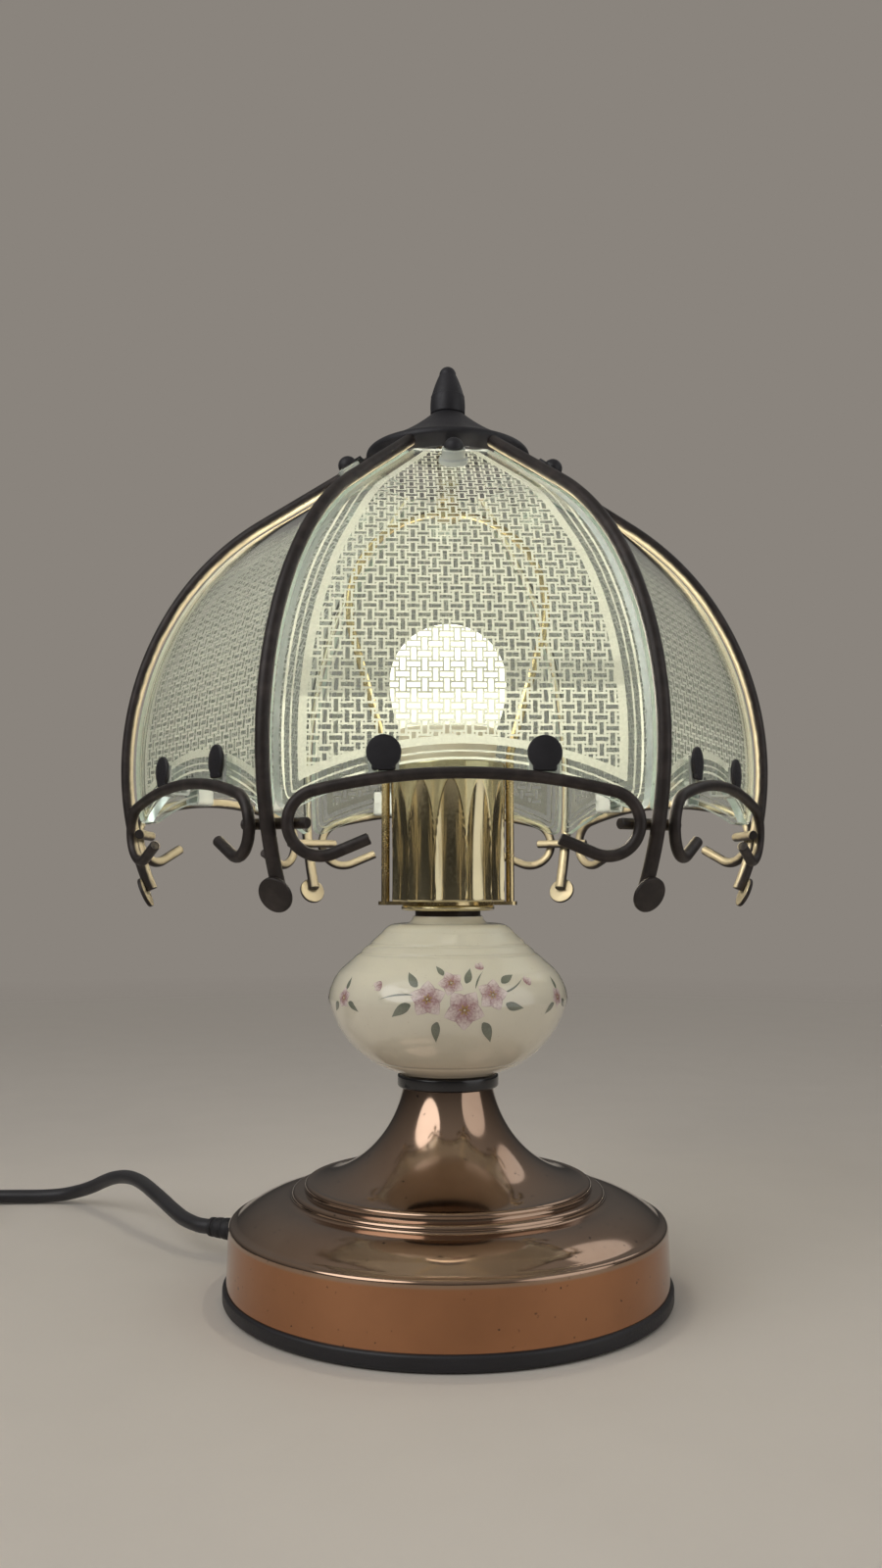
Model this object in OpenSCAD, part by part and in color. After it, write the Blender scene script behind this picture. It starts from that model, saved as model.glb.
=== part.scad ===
// Touch table lamp: spun metal base, glazed ceramic body, fluted cup, wire harp and a shade of six bent
// glass panels held in a wire frame. Millimetres, +Z up. The origin is on the table at the lamp's axis,
// and the first glass panel faces -Y.

/* [Base] */
// Radius of the band at its lower edge
base_r = 82.2; // [76:0.1:90]
// How far the black foot ring stands out past the band
foot_overhang = 1.3; // [0.4:0.1:3]
// Height of the foot ring
foot_h = 5.6; // [5:0.1:9]
// Height of the band, up to the middle of its edge bead
band_h = 20.6; // [19:0.1:30]
// How much smaller the band is at its top
band_draft = 0.6; // [0:0.1:2]
// Radius of the rounded edge at the top of the band
edge_bead_r = 1.6; // [1:0.1:2.2]
// Rise of the shoulder from the edge bead to the bead ring
shoulder_rise = 7.6; // [5:0.1:12]
// Radius of the bead ring and of the groove's edges round the bell
ring_bead_r = 1.6; // [1:0.1:2.2]
// Sheet thickness of the spun shell
shell_t = 0.9; // [0.6:0.1:1.2]
// Radius of the bell at its rim
bell_rim_r = 53.6; // [48:0.1:60]
// Height of the bell from its rim to its neck
bell_h = 34.2; // [28:0.1:45]
// Radius of the bell at its neck
bell_neck_r = 17; // [15:0.1:22]
// How deep the bell's flare bows in from a straight line
bell_sag = 7.7; // [4:0.1:9]

/* [Inside the base] */
// Thickness of the bottom cover
cover_t = 1.2; // [0.8:0.1:2]
// Depth of the cover's underside above the table
cover_z = 3.2; // [2.6:0.1:4]
// Inner radius of the weight
weight_in_r = 34; // [31:0.5:40]
// Room between the band and the weight
weight_gap = 18; // [16:0.5:22]
// Thickness of the weight
weight_h = 10; // [6:0.5:11]
// Length of the touch control box
module_l = 44; // [36:0.5:46]
// Width of the touch control box
module_w = 30; // [24:0.5:34]
// Height of the touch control box
module_h = 20; // [16:0.5:24]
// Radius of the circle of cover screws
screw_circle_r = 52; // [46:0.5:56]
// Shank radius of a cover screw
screw_r = 2; // [1.5:0.1:2.5]
// Number of cover screws
screw_count = 3; // [3:1:6]

/* [Stem] */
// Outer radius of the threaded pipe
pipe_r = 5; // [4.5:0.1:5.6]
// Bore radius of the threaded pipe
pipe_bore_r = 3.6; // [3.2:0.1:3.9]
// Length of the pipe below the bell's top
pipe_below = 12; // [10:0.5:16]
// Width across the flats of a pipe nut
nut_flats = 15; // [13:0.5:17]
// Thickness of a pipe nut
nut_h = 4.6; // [3.5:0.1:5]
// Radius of the washer under the bell's top
washer_r = 9; // [8.6:0.1:11]
// Thickness of the washer
washer_t = 1.2; // [0.8:0.1:1.6]
// Radius of the black seat ring
seat_ring_r = 19.1; // [17:0.1:24]
// Height of the seat ring
seat_ring_h = 5.4; // [4:0.1:8]
// Radius of the neck spacer
neck_spacer_r = 12.5; // [10:0.1:13]
// Height of the neck spacer
neck_spacer_h = 2.2; // [1.5:0.1:4]
// Radius of the gold disc under the cup
cup_disc_r = 17.8; // [14:0.1:19]
// Thickness of the gold disc under the cup
cup_disc_h = 2; // [1.2:0.1:3]

/* [Ceramic body] */
// Height of the ceramic body
body_h = 58.6; // [50:0.2:70]
// Radius of the belly
belly_r = 45.3; // [40:0.1:52]
// Height of the belly's widest line above the body's foot
belly_z = 27.8; // [25:0.1:31]
// Radius of the foot
body_foot_r = 19; // [17:0.1:22]
// Radius of the flat shoulder under the collar
body_shoulder_r = 20.4; // [18.5:0.1:24]
// Radius of the collar at its top
body_collar_r = 13.3; // [13:0.1:16]
// Height of the collar
body_collar_h = 2.8; // [2:0.1:5]
// Thickness of the ceramic wall
body_wall = 3.6; // [3:0.1:4.5]
// Radius of the turned lines round the body
body_line_r = 0.5; // [0.3:0.1:0.7]

/* [Fluted cup] */
// Radius of the cup at its ridges
cup_r = 22; // [21:0.1:24]
// Height of the cup
cup_h = 52.6; // [50:0.2:60]
// Number of flutes
flute_count = 12; // [12:4:16]
// Radius of the cutter that makes one flute
flute_r = 10.3; // [9.5:0.1:12]
// Depth of a flute at its lowest point
flute_depth = 2.4; // [1.6:0.1:2.5]
// Height above the cup's floor where the flutes are deepest
flute_low = 12; // [6:0.5:16]
// Length over which a flute runs out into its pointed top
flute_run = 34; // [26:0.5:37]
// Bore radius of the cup
cup_bore_r = 18.3; // [18:0.1:18.4]
// Thickness of the cup's floor
cup_floor = 1.6; // [1.2:0.1:2.5]

/* [Lampholder and bulb] */
// Outer radius of the lampholder
holder_r = 16.6; // [16:0.1:17]
// Outer radius of the brass screw shell
screw_shell_r = 14.4; // [14.2:0.1:15]
// Thickness of the screw shell's sheet
screw_shell_t = 0.8; // [0.5:0.1:0.9]
// Length of the screw shell
screw_shell_h = 22; // [18:0.5:25]
// Radius of the bulb's screw cap
cap_r = 13.1; // [12.8:0.05:13.2]
// Radius of the bulb's globe
globe_r = 22.5; // [19.5:0.1:26]
// Radius of the bulb's collar at its top
collar_r = 19; // [18:0.1:19.4]
// Height of the bulb's collar above the cup
collar_h = 12.8; // [8:0.1:18]
// Height of the globe's widest line above the collar
globe_rise = 18.6; // [14:0.1:24]
// Thickness of the globe's wall
globe_wall = 1.2; // [0.8:0.1:1.6]

/* [Harp] */
// Radius of the harp's wire
wire_r = 1.6; // [1.3:0.1:1.8]
// Radius of the harp's round top
harp_r = 38.4; // [34:0.1:44]
// Height of the harp's top wire above the saddle
harp_h = 152.3; // [140:0.1:170]
// Angle of the harp's sides, leaning out
harp_lean = 15.6; // [10:0.1:18]
// Radius of the bend where the legs turn outwards
harp_bend_r = 24; // [12:0.5:40]
// Thickness of the saddle strap
saddle_t = 1.4; // [1:0.1:2]
// Width of the saddle strap
saddle_w = 5.4; // [5:0.1:7]
// Radius of the saddle's plate round the pipe
saddle_mid_r = 12; // [9:0.5:14]
// Radius of the stud on top of the harp
stud_r = 3; // [2.6:0.1:3.4]
// Height of the shade riser
riser_h = 21.7; // [14:0.1:26]
// Radius of the shade riser
riser_r = 4.6; // [4.2:0.1:6]

/* [Shade frame] */
// Radius of the ribs' rod
rib_r = 2.3; // [1.8:0.1:2.6]
// Radius of the crown at its rim, at the middle of the ribs
crown_rim_r = 31; // [28:0.1:36]
// Wall of the crown over and under a rib's end
crown_wall = 1.2; // [0.9:0.1:1.6]
// Depth of the holes that take the ribs' ends
rib_socket = 5; // [4:0.1:7]
// Radius of the crown's flat top
crown_top_r = 6.5; // [6:0.1:8]
// Height of the crown's hub
crown_h = 13.3; // [12.4:0.1:16]
// How deep the crown's slope bows in
crown_sag = 1.2; // [0.2:0.1:1.4]
// Rounding of the crown's upper rim
crown_round = 2.2; // [1:0.1:3]
// Length of the straight top of a rib
rib_straight = 48.5; // [40:0.1:60]
// Bend radius of a rib's upper curve
rib_upper_r = 103.7; // [90:0.1:115]
// Turn of a rib's upper curve, in degrees
rib_upper_turn = 27; // [22:0.5:32]
// Bend radius of a rib's lower curve
rib_lower_r = 115.7; // [100:0.1:130]
// Turn of a rib's lower curve up to its widest point, in degrees
rib_lower_turn = 31; // [26:0.5:36]
// Turn of a rib's tail below its widest point, in degrees
rib_tail_turn = 24; // [21:0.5:26]
// Radius of the disc on a rib's tip
tip_disc_r = 5.8; // [4:0.1:7]
// Thickness of the disc on a rib's tip
tip_disc_t = 1.6; // [1:0.1:2.4]

/* [Scrolls] */
// Radius of the scrolls' rod
scroll_r = 1.9; // [1.5:0.1:2.1]
// Bend radius of a scroll's end loop
loop_r = 10; // [8:0.1:11]
// Half the distance between the middles of a scroll's end loops
loop_u = 43.5; // [40:0.1:45]
// Height of a scroll's arch above the middle of its loops
arch_h = 15.3; // [13.5:0.1:20]
// How far a loop turns past its lowest point, in degrees
loop_past = 23; // [10:1:30]
// Length of a scroll's straight free end
loop_tail = 11.7; // [6:0.1:14]
// Lean of the scrolls out from the shade, in degrees
scroll_lean = 3; // [2:0.1:5]
// Drop of the cross pins below the ribs' widest point
pin_drop = 26.4; // [24:0.1:32]
// Radius of a cross pin
pin_r = 1.8; // [1.4:0.1:2]
// Length of a cross pin
pin_l = 24; // [20:0.5:28]

/* [Glass] */
// Thickness of the glass
glass_t = 3; // [2.4:0.1:3.4]
// Distance of the glass behind the ribs
glass_gap = 0.4; // [0.3:0.05:0.6]
// Distance of a panel's sides from the plane of its rib
glass_side = 1.4; // [1:0.1:3]
// Distance of a panel's top edge inside the crown's rim
glass_under_crown = 1.5; // [0.5:0.1:3]
// Rise of the arched lower edge
glass_arch = 15.4; // [12:0.1:18]
// Height of the arched lower edge's middle above the scrolls' arch
glass_over_scroll = 2.1; // [1:0.1:3]
// Corner radius of the lower edge
glass_corner = 6; // [3:0.5:9]

/* [Clips] */
// Radius of a lower clip's disc
clip_disc_r = 5.4; // [4:0.1:6]
// Height of a lower clip's neck under its disc
clip_neck = 0.2; // [0.1:0.1:3]
// Thickness of a lower clip
clip_t = 1.5; // [1:0.1:1.8]
// Width of a lower clip's tab
clip_tab_w = 7.6; // [4:0.1:9]
// Distance of a lower clip from the middle of its panel
clip_u = 24.6; // [20:0.1:28]
// Wall of a clear cushion
cushion_t = 0.9; // [0.7:0.05:1]
// Width of a lower cushion
cushion_w = 9.4; // [8:0.1:11]
// Height of a lower cushion's walls above the glass edge
cushion_h = 6; // [4:0.1:8]
// Radius of an upper clip's button
button_r = 3.6; // [3:0.1:4.2]
// Distance of the buttons from the lamp's axis
button_d = 41; // [39:0.1:45]
// Height of the clear cushion under a button
button_cushion_h = 5.6; // [4.6:0.1:6.4]
// Thickness of that cushion's flange, on the glass
button_flange_t = 2.2; // [1.6:0.1:3]
// Radius of that cushion's flange
button_flange_r = 5.3; // [5:0.1:6.5]
// Width of the strap from a button to the crown
button_strap_w = 5; // [4:0.1:6]
// Thickness of that strap
button_strap_t = 0.9; // [0.7:0.1:1.2]
// How far that strap stands behind the cushion's flange where it comes down to the glass
button_strap_run = 1.7; // [1.2:0.1:2.4]

/* [Finial] */
// Radius of the finial's drum
finial_r = 6.8; // [6.6:0.1:8]
// Height of the finial's drum
finial_drum_h = 7.8; // [7:0.1:10]
// Height of the finial's pointed top
finial_tip_h = 11.8; // [9:0.1:16]
// Radius of the finial's rounded tip
finial_tip_r = 3.3; // [2.4:0.1:3.6]

/* [Lead] */
// Diameter of the lead
cord_d = 6; // [5:0.1:6.2]
// Direction in which the lead leaves the base, in degrees from +X
exit_angle = 153; // [145:1:160]
// Height of the lead's exit above the table
exit_z = 12; // [11.6:0.1:14]
// Length of the tapered strain relief outside the band
relief_l = 24; // [20:1:24]
// Radius of the strain relief at the band
relief_r = 5.4; // [4.6:0.1:5.6]
// Radial step from turn to turn of the stored coil
coil_step = 7.6; // [7.5:0.1:8.2]
// Height from layer to layer of the stored coil
coil_layer = 6.8; // [6.7:0.1:7.4]
// Turns in each of the coil's two layers
coil_turns = 3.25; // [2.25:1:4.25]
// Radius of the coil's innermost turn
coil_in_r = 24.5; // [24:0.1:28]
// Thickness of the tie round the coil
tie_t = 1.2; // [0.8:0.1:1.6]
// Width of the tie
tie_w = 8; // [5:0.5:10]
// Length of the plug's body
plug_l = 36; // [30:0.5:42]
// Width of the plug's body
plug_w = 26; // [24:0.5:32]
// Thickness of the plug's body
plug_t = 14; // [12:0.5:15]
// Radius of a plug pin
plug_pin_r = 2; // [1.9:0.1:2.4]
// Length of a plug pin
plug_pin_l = 19; // [16:0.5:20]
// Distance between the plug's pins
plug_pin_gap = 18.6; // [17:0.1:19]

/* [Fits] */
// Radial clearance of a part that turns on another
run_gap = 0.05; // [0.03:0.01:0.08]
// Clearance between pieces that are set against each other
seat_gap = 0.15; // [0.1:0.01:0.2]
// Clearance round the bulb, which turns in its holder
bulb_gap = 0.4; // [0.35:0.05:0.5]

/* [Hidden] */
$fn = 72;
panel_count = 6;
half_turn = 180 / panel_count;
cord_r = cord_d / 2;

// Heights of the base's lines, from the table up
z_edge = foot_h + band_h;
z_shoulder_out = z_edge + edge_bead_r;
z_shoulder_in = z_shoulder_out + shoulder_rise;
z_rim = z_shoulder_in + 3.75 * ring_bead_r;
z_neck = z_rim + bell_h;
ring_r = bell_rim_r + 3 * ring_bead_r;

// Heights of the stacked stem
z_body = z_neck + seat_ring_h;
z_body_top = z_body + body_h;
z_disc = z_body_top + neck_spacer_h;
z_saddle = z_disc + cup_disc_h;
z_cup = z_saddle + saddle_t;
z_cup_top = z_cup + cup_h;
z_washer = z_neck - shell_t - washer_t;
terminal_t = 0.8;
z_nut_low = z_washer - terminal_t - nut_h;
z_nut_up = z_cup + cup_floor;
pipe_hole_r = pipe_r + seat_gap;

// Inside the base: the weight and the control box stand on the cover
z_floor = cover_z + cover_t;
z_weight_top = z_floor + weight_h;
z_module_top = z_floor + module_h;
weight_out_r = base_r - weight_gap;
screw_head_h = 1.6;
screw_short = 2;
inner_lead_r = 2;
inner_lead_rise = 4.2;
sense_x = pipe_hole_r + 6;
sense_r = 1.2;
terminal_tab_w = 4;

// Lampholder and bulb
z_holder = z_nut_up + nut_h;
z_shell_top = z_cup_top - 2;
z_shell = z_shell_top - screw_shell_h;
z_contact = z_shell - 5.5;
contact_h = 3.5;
z_cap_tip = z_contact + contact_h + seat_gap;
tip_h = 3;
z_cap = z_cap_tip + tip_h;
z_collar = z_cup_top + bulb_gap;
z_collar_top = z_collar + collar_h;
z_globe = z_collar_top + globe_rise;
pipe_top = z_holder + 5;

// Harp: vertical legs, a bend, leaning sides and a round top
leg_x = cup_r + 2 * seat_gap + wire_r;
z_harp_top = z_cup + harp_h;
z_harp_mid = z_harp_top - harp_r;
side_x = harp_r * cos(harp_lean);
side_z = z_harp_mid - harp_r * sin(harp_lean);
bend_x = leg_x + harp_bend_r * (1 - cos(harp_lean));
side_run = (side_x - bend_x) / sin(harp_lean);
bend_top_z = side_z - side_run * cos(harp_lean);
bend_z = bend_top_z - harp_bend_r * sin(harp_lean);
stud_collar_r = 5.2;
stud_collar_h = 3.4;
z_riser = z_harp_top + stud_collar_h;
z_hub = z_riser + riser_h;

// Crown, and the ribs' arcs worked out downwards from the crown's rim
rib_slope = 90 - rib_upper_turn - rib_lower_turn;
z_crown_top = z_hub + crown_h;
rim_half = rib_r + crown_wall;
z_rib_rim = z_crown_top - (crown_rim_r + rim_half * sin(rib_slope) - crown_top_r) * tan(rib_slope)
    - rim_half * cos(rib_slope);
rib_dir = [cos(rib_slope), -sin(rib_slope)];
rib_out = [sin(rib_slope), cos(rib_slope)];
rim_point = [crown_rim_r, z_rib_rim];
arc_end = rim_point + rib_straight * rib_dir;
upper_mid = arc_end - rib_upper_r * rib_out;
arc_join = upper_mid + rib_upper_r * polar(rib_lower_turn);
lower_mid = arc_join - rib_lower_r * polar(rib_lower_turn);
z_wide = lower_mid[1];
rib_tip = lower_mid + rib_lower_r * polar(-rib_tail_turn);

// Cross pins and scrolls: the pin lies behind the rib, and the scroll lies in front of the pin
z_pin = z_wide - pin_drop;
pin_turn = asin(pin_drop / rib_lower_r);
pin_d = lower_mid[0] + rib_lower_r * cos(pin_turn) - rib_r - pin_r - seat_gap;
pin_reach = (pin_d * sin(half_turn) - loop_u - loop_r) / cos(half_turn);
scroll_d = pin_d * cos(half_turn) + pin_reach * sin(half_turn)
    + (pin_r + scroll_r + seat_gap) / cos(half_turn);
arch_r = (pow(loop_u, 2) + pow(arch_h, 2) - pow(loop_r, 2)) / (2 * (arch_h - loop_r));
arch_turn = asin(loop_u / (arch_r - loop_r));

// Glass: the ribs' own curves, moved in behind the rods and set square to the panel's middle
glass_in = rib_r + glass_gap;
glass_top_r = crown_rim_r - glass_under_crown + glass_in * sin(rib_slope);
glass_low_turn = -asin((z_wide - z_pin - 1) / rib_lower_r);
glass_arch_z = z_pin + arch_h + glass_over_scroll;
glass_face = concat(
    arc(lower_mid, rib_lower_r - glass_in, glass_low_turn, rib_lower_turn, 14),
    after_first(arc(upper_mid, rib_upper_r - glass_in, rib_lower_turn, 90 - rib_slope, 10)),
    [glass_line(glass_top_r)]);
glass_outer = [for (p = glass_face) [p[0] * cos(half_turn), p[1]]];
glass_slope = atan(tan(rib_slope) / cos(half_turn));
glass_wide_d = (lower_mid[0] + rib_lower_r - glass_in) * cos(half_turn);
glass_half_w = glass_wide_d * tan(half_turn);
glass_arch_r = (pow(glass_half_w, 2) + pow(glass_arch, 2)) / (2 * glass_arch);

// Clips
clip_arch_z = z_pin + arch_h - arch_r + sqrt(pow(arch_r, 2) - pow(clip_u, 2));
clip_arch_d = scroll_d + (clip_arch_z - z_pin) * tan(scroll_lean);
clip_glass_z = glass_arch_z - glass_arch_r + sqrt(pow(glass_arch_r, 2) - pow(clip_u, 2));
clip_d = glass_wide_d + 2 * seat_gap + cushion_t + clip_t / 2;
clip_off = max(0, min(scroll_r, abs(clip_arch_d - clip_d) - clip_t / 2));
clip_slope = clip_u / sqrt(pow(arch_r, 2) - pow(clip_u, 2));
z_clip_foot = clip_arch_z + sqrt(pow(scroll_r, 2) - pow(clip_off, 2)) + clip_tab_w / 2 * clip_slope
    + seat_gap;
z_clip = z_clip_foot + clip_neck + clip_disc_r;
button_z = glass_line(button_d / cos(half_turn))[1];
button_down = [cos(glass_slope), -sin(glass_slope)];
button_head_z = 2 * seat_gap + button_cushion_h;
button_drum_r = button_r + 0.7;
rim_top = rim_point + rim_half * rib_out;
rim_low = rim_point - rim_half * rib_out;
strap_l = ([button_d, button_z] - rim_low) * button_down - 2 * seat_gap;

// Lead: hand-placed points from the strain relief to the coil, then a tail to the plug
exit_dir = [cos(exit_angle), sin(exit_angle), 0];
relief_end = (base_r + relief_l) * exit_dir + [0, 0, exit_z];
coil_z = tie_t + seat_gap + cord_r;
coil_out_r = coil_in_r + coil_step * coil_turns;
coil_mid = [-262, 142 - coil_out_r];
coil_total = 720 * coil_turns + 180;
lead_route = concat(
    [relief_end, relief_end + cord_d * exit_dir],
    [[-107, 58, 12.8], [-113, 66, 14.5], [-119, 75, 16.5], [-125, 84, 18.3], [-131, 94, 19.4],
     [-137, 103, 19.6], [-143, 111, 18.6], [-149, 118, 16.5], [-155, 125, 13.3], [-161, 131, 9.8],
     [-168, 137, 6.6], [-177, 141, 4], [-187, 142, 3.1], [-199, 142, 3.1], [-211, 142, 3.2],
     [-223, 142, 3.5], [-235, 142, 4]],
    [for (x = [18, 12, 6]) [coil_mid[0] + x, 142, coil_z]]);
plug_z = plug_t / 2;
tail_y = coil_mid[1] + coil_out_r;
coil_route = concat(
    [[coil_mid[0] + cord_d, tail_y, coil_z]],
    [for (a = [0:15:coil_total]) coil_point(a)],
    [for (k = [1:1:6]) [coil_mid[0] - 9 * k, tail_y, coil_tail_z(9 * k)]],
    [[coil_mid[0] - 54 - cord_d, tail_y, plug_z]]);
plug_x = coil_mid[0] - 54 - cord_d;

// Point on a unit circle
function polar(a) = [cos(a), sin(a)];

// Value of step k of n from a to b
function steps(a, b, n, k) = a + (b - a) * k / n;

// Unit vector along v
function unit(v) = v / norm(v);

// Points on a circular bow from p to q that stands s off the straight line, to its right
function bow(p, q, s, n) = let (
        c = norm(q - p),
        along = (q - p) / c,
        side = [along[1], -along[0]],
        turn = 2 * atan(2 * abs(s) / c),
        r = c / (2 * sin(turn)),
        mid = (p + q) / 2)
    [for (k = [0:1:n]) let (a = steps(-turn, turn, n, k))
        mid + along * r * sin(a) + side * sign(s) * r * (cos(a) - cos(turn))];

// Points on an arc of radius r round c
function arc(c, r, a, b, n) = [for (k = [0:1:n]) c + r * polar(steps(a, b, n, k))];

// Direction to the left of a line of points at point i
function left_of(pts, i) = let (d = unit(pts[min(i + 1, len(pts) - 1)] - pts[max(i - 1, 0)])) [-d[1], d[0]];

// A line of points moved by t to its left
function inset(pts, t) = [for (i = [0:1:len(pts) - 1]) pts[i] + t * left_of(pts, i)];

// The points of a list without its first
function after_first(pts) = [for (i = [1:1:len(pts) - 1]) pts[i]];

// The points of a list from its last to its first
function reversed(pts) = [for (i = [len(pts) - 1:-1:0]) pts[i]];

// Point on the straight top of the glass's outer face, at radius r in the plane of a rib
function glass_line(r) = let (foot = arc_end - glass_in * rib_out)
    [r, foot[1] + (foot[0] - r) * tan(rib_slope)];

// Point on the coil after it has turned by a degrees: in on the lower layer, a climb, out on the upper layer
function coil_point(a) = let (
        lower = 360 * coil_turns,
        r = a < lower ? coil_out_r - coil_step * a / 360
            : a < lower + 180 ? coil_in_r : coil_in_r + coil_step * (a - lower - 180) / 360,
        climb = max(0, min(180, a - lower)))
    concat(coil_mid + r * polar(90 + a), coil_z + coil_layer * (1 - cos(climb)) / 2);

// Height of the coil's tail at distance x past the coil: level past the turns below, then down to the plug
function coil_tail_z(x) = let (f = max(0, min(1, (x - 22) / 30)))
    steps(coil_z + coil_layer, plug_z, 1, (1 - cos(180 * f)) / 2);

// Ring of n points of radius r round point c, square to direction t and starting on the given side
function ring(c, t, side, r, n) = let (up = cross(t, side))
    [for (k = [0:1:n - 1]) c + r * (cos(360 * k / n) * side + sin(360 * k / n) * up)];

// Level direction square to t
function level_side(t) = unit(cross([0, 0, 1], t));

// A line of points that ends on the Z axis, followed by its mirror image
function with_mirror(pts) = concat(pts, [for (i = [len(pts) - 2:-1:0]) [-pts[i][0], pts[i][1]]]);

// Direction of a route at point i
function heading(pts, i) = unit(pts[min(i + 1, len(pts) - 1)] - pts[max(i - 1, 0)]);

// Least distance between points of a route that lie more than gap points apart
function closest(pts, gap) = min([for (i = [0:1:len(pts) - 2 - gap]) for (j = [i + gap:1:len(pts) - 1])
    norm(pts[i] - pts[j])]);

// Round bar of radius r and n sides along a route; a route in one upright plane gives that plane's side
module tube(route, r, n, side = undef) {
    last = len(route) - 1;
    points = [for (i = [0:1:last]) let (t = heading(route, i))
        each ring(route[i], t, is_undef(side) ? level_side(t) : side, r, n)];
    sides = [for (i = [0:1:last - 1]) for (k = [0:1:n - 1]) let (a = i * n, b = a + n, m = (k + 1) % n)
        each [[a + k, b + k, b + m], [a + k, b + m, a + m]]];
    start = [for (k = [1:1:n - 2]) [0, k, k + 1]];
    end = [for (k = [1:1:n - 2]) [last * n, last * n + k + 1, last * n + k]];
    polyhedron(points = points, faces = concat(start, sides, end));
}

// Body of revolution with a given half section
module turned(pts) {
    rotate_extrude() polygon(pts);
}

// Round bar bent in the XZ plane round c from angle a to angle b
module bent_bar(c, bend_r, r, a, b) {
    translate([c[0], 0, c[1]]) rotate([90, 0, 0]) rotate([0, 0, a])
        rotate_extrude(angle = b - a) translate([bend_r, 0]) circle(r = r);
}

// Bar bent along a line of points in the XZ plane
module rod(pts, r, n) {
    tube([for (p = pts) [p[0], 0, p[1]]], r, n, [0, 1, 0]);
}

// Straight round bar in the XZ plane from p to q
module straight_bar(p, q, r) {
    translate([p[0], 0, p[1]]) rotate([0, 90 - atan2(q[1] - p[1], q[0] - p[0]), 0])
        cylinder(h = norm(q - p), r = r);
}

// Plain tube standing on z
module sleeve(z, h, r, bore) {
    translate([0, 0, z]) difference() {
        cylinder(h = h, r = r);
        translate([0, 0, -1]) cylinder(h = h + 2, r = bore);
    }
}

// Hexagon nut standing on z
module nut(z) {
    translate([0, 0, z]) difference() {
        cylinder(h = nut_h, r = nut_flats / sqrt(3), $fn = 6);
        translate([0, 0, -1]) cylinder(h = nut_h + 2, r = pipe_hole_r);
    }
}

// Rectangle with round corners
module round_rect(w, h, r) {
    square([w - 2 * r, h], center = true);
    square([w, h - 2 * r], center = true);
    for (x = [-1, 1]) for (y = [-1, 1]) translate([x * (w / 2 - r), y * (h / 2 - r)]) circle(r = r);
}

// Black ring that the lamp stands on, with a ledge for the cover
module foot_ring() {
    color("#15141a") turned(concat(
        [[base_r - 16, 0]],
        arc([base_r + foot_overhang - 1.5, 1.5], 1.5, -90, 0, 6),
        arc([base_r + foot_overhang - 1, foot_h - 1], 1, 0, 90, 6),
        [[base_r - 10, foot_h], [base_r - 10, cover_z], [base_r - 16, cover_z]]));
}

// Steel plate that closes the base from below
module bottom_cover() {
    color("#3a3a3c") difference() {
        sleeve(cover_z, cover_t, base_r - 10 - seat_gap, 6);
        screw_places() translate([0, 0, -1]) cylinder(h = 20, r = screw_r + seat_gap);
    }
}

// The cover screws' places
module screw_places() {
    for (k = [0:1:screw_count - 1])
        rotate(30 + 360 * k / screw_count) translate([screw_circle_r, 0, 0]) children();
}

// Pan-head screws that hold the weight on the cover
module cover_screws() {
    color("#8c8f94") screw_places() {
        translate([0, 0, cover_z - screw_head_h]) cylinder(h = screw_head_h, r = 1.75 * screw_r);
        translate([0, 0, cover_z]) cylinder(h = cover_t + weight_h - screw_short, r = screw_r);
    }
}

// Cast ring that keeps the lamp steady
module base_weight() {
    color("#4a4b50") difference() {
        sleeve(z_floor, weight_h, weight_out_r, weight_in_r);
        screw_places() translate([0, 0, cover_z])
            cylinder(h = cover_t + weight_h - screw_short + seat_gap, r = screw_r + seat_gap);
    }
}

// Touch control box, with its lid set in a step
module touch_module() {
    color("#222327") translate([0, 0, z_floor]) {
        linear_extrude(height = module_h - 2) round_rect(module_l, module_w, 3);
        translate([0, 0, module_h - 2]) linear_extrude(height = 2) round_rect(module_l - 2, module_w - 2, 2);
    }
}

// Wire from the touch control to a ring terminal on the pipe, which makes the metal parts sense a touch
module sense_lead() {
    z_terminal = z_washer - terminal_t;
    tab_from = pipe_hole_r + 1;
    color("#b58b3c") {
        sleeve(z_terminal, terminal_t, washer_r - 1, pipe_hole_r);
        translate([tab_from, -terminal_tab_w / 2, z_terminal])
            cube([sense_x + sense_r - tab_from, terminal_tab_w, terminal_t]);
        translate([sense_x, 0, z_module_top])
            cylinder(h = z_washer - terminal_t / 2 - z_module_top, r = sense_r);
    }
}

// Lead inside the base and up the pipe
module inner_leads() {
    over_weight = z_weight_top + inner_lead_rise;
    module_side = (module_l / 2 + inner_lead_r / 2 + seat_gap) / cos(180 - exit_angle);
    color("#1c1c1e") {
        translate([0, 0, z_module_top]) cylinder(h = pipe_top - 2 - z_module_top, r = pipe_bore_r - 1);
        tube([for (s = [[base_r - 8, exit_z], [weight_out_r + 6, exit_z], [weight_out_r + 0.5, over_weight],
                [weight_out_r - 6, over_weight], [weight_in_r + 6, over_weight], [module_side, over_weight]])
            s[0] * exit_dir + [0, 0, s[1]]], inner_lead_r, 8);
    }
}

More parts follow.
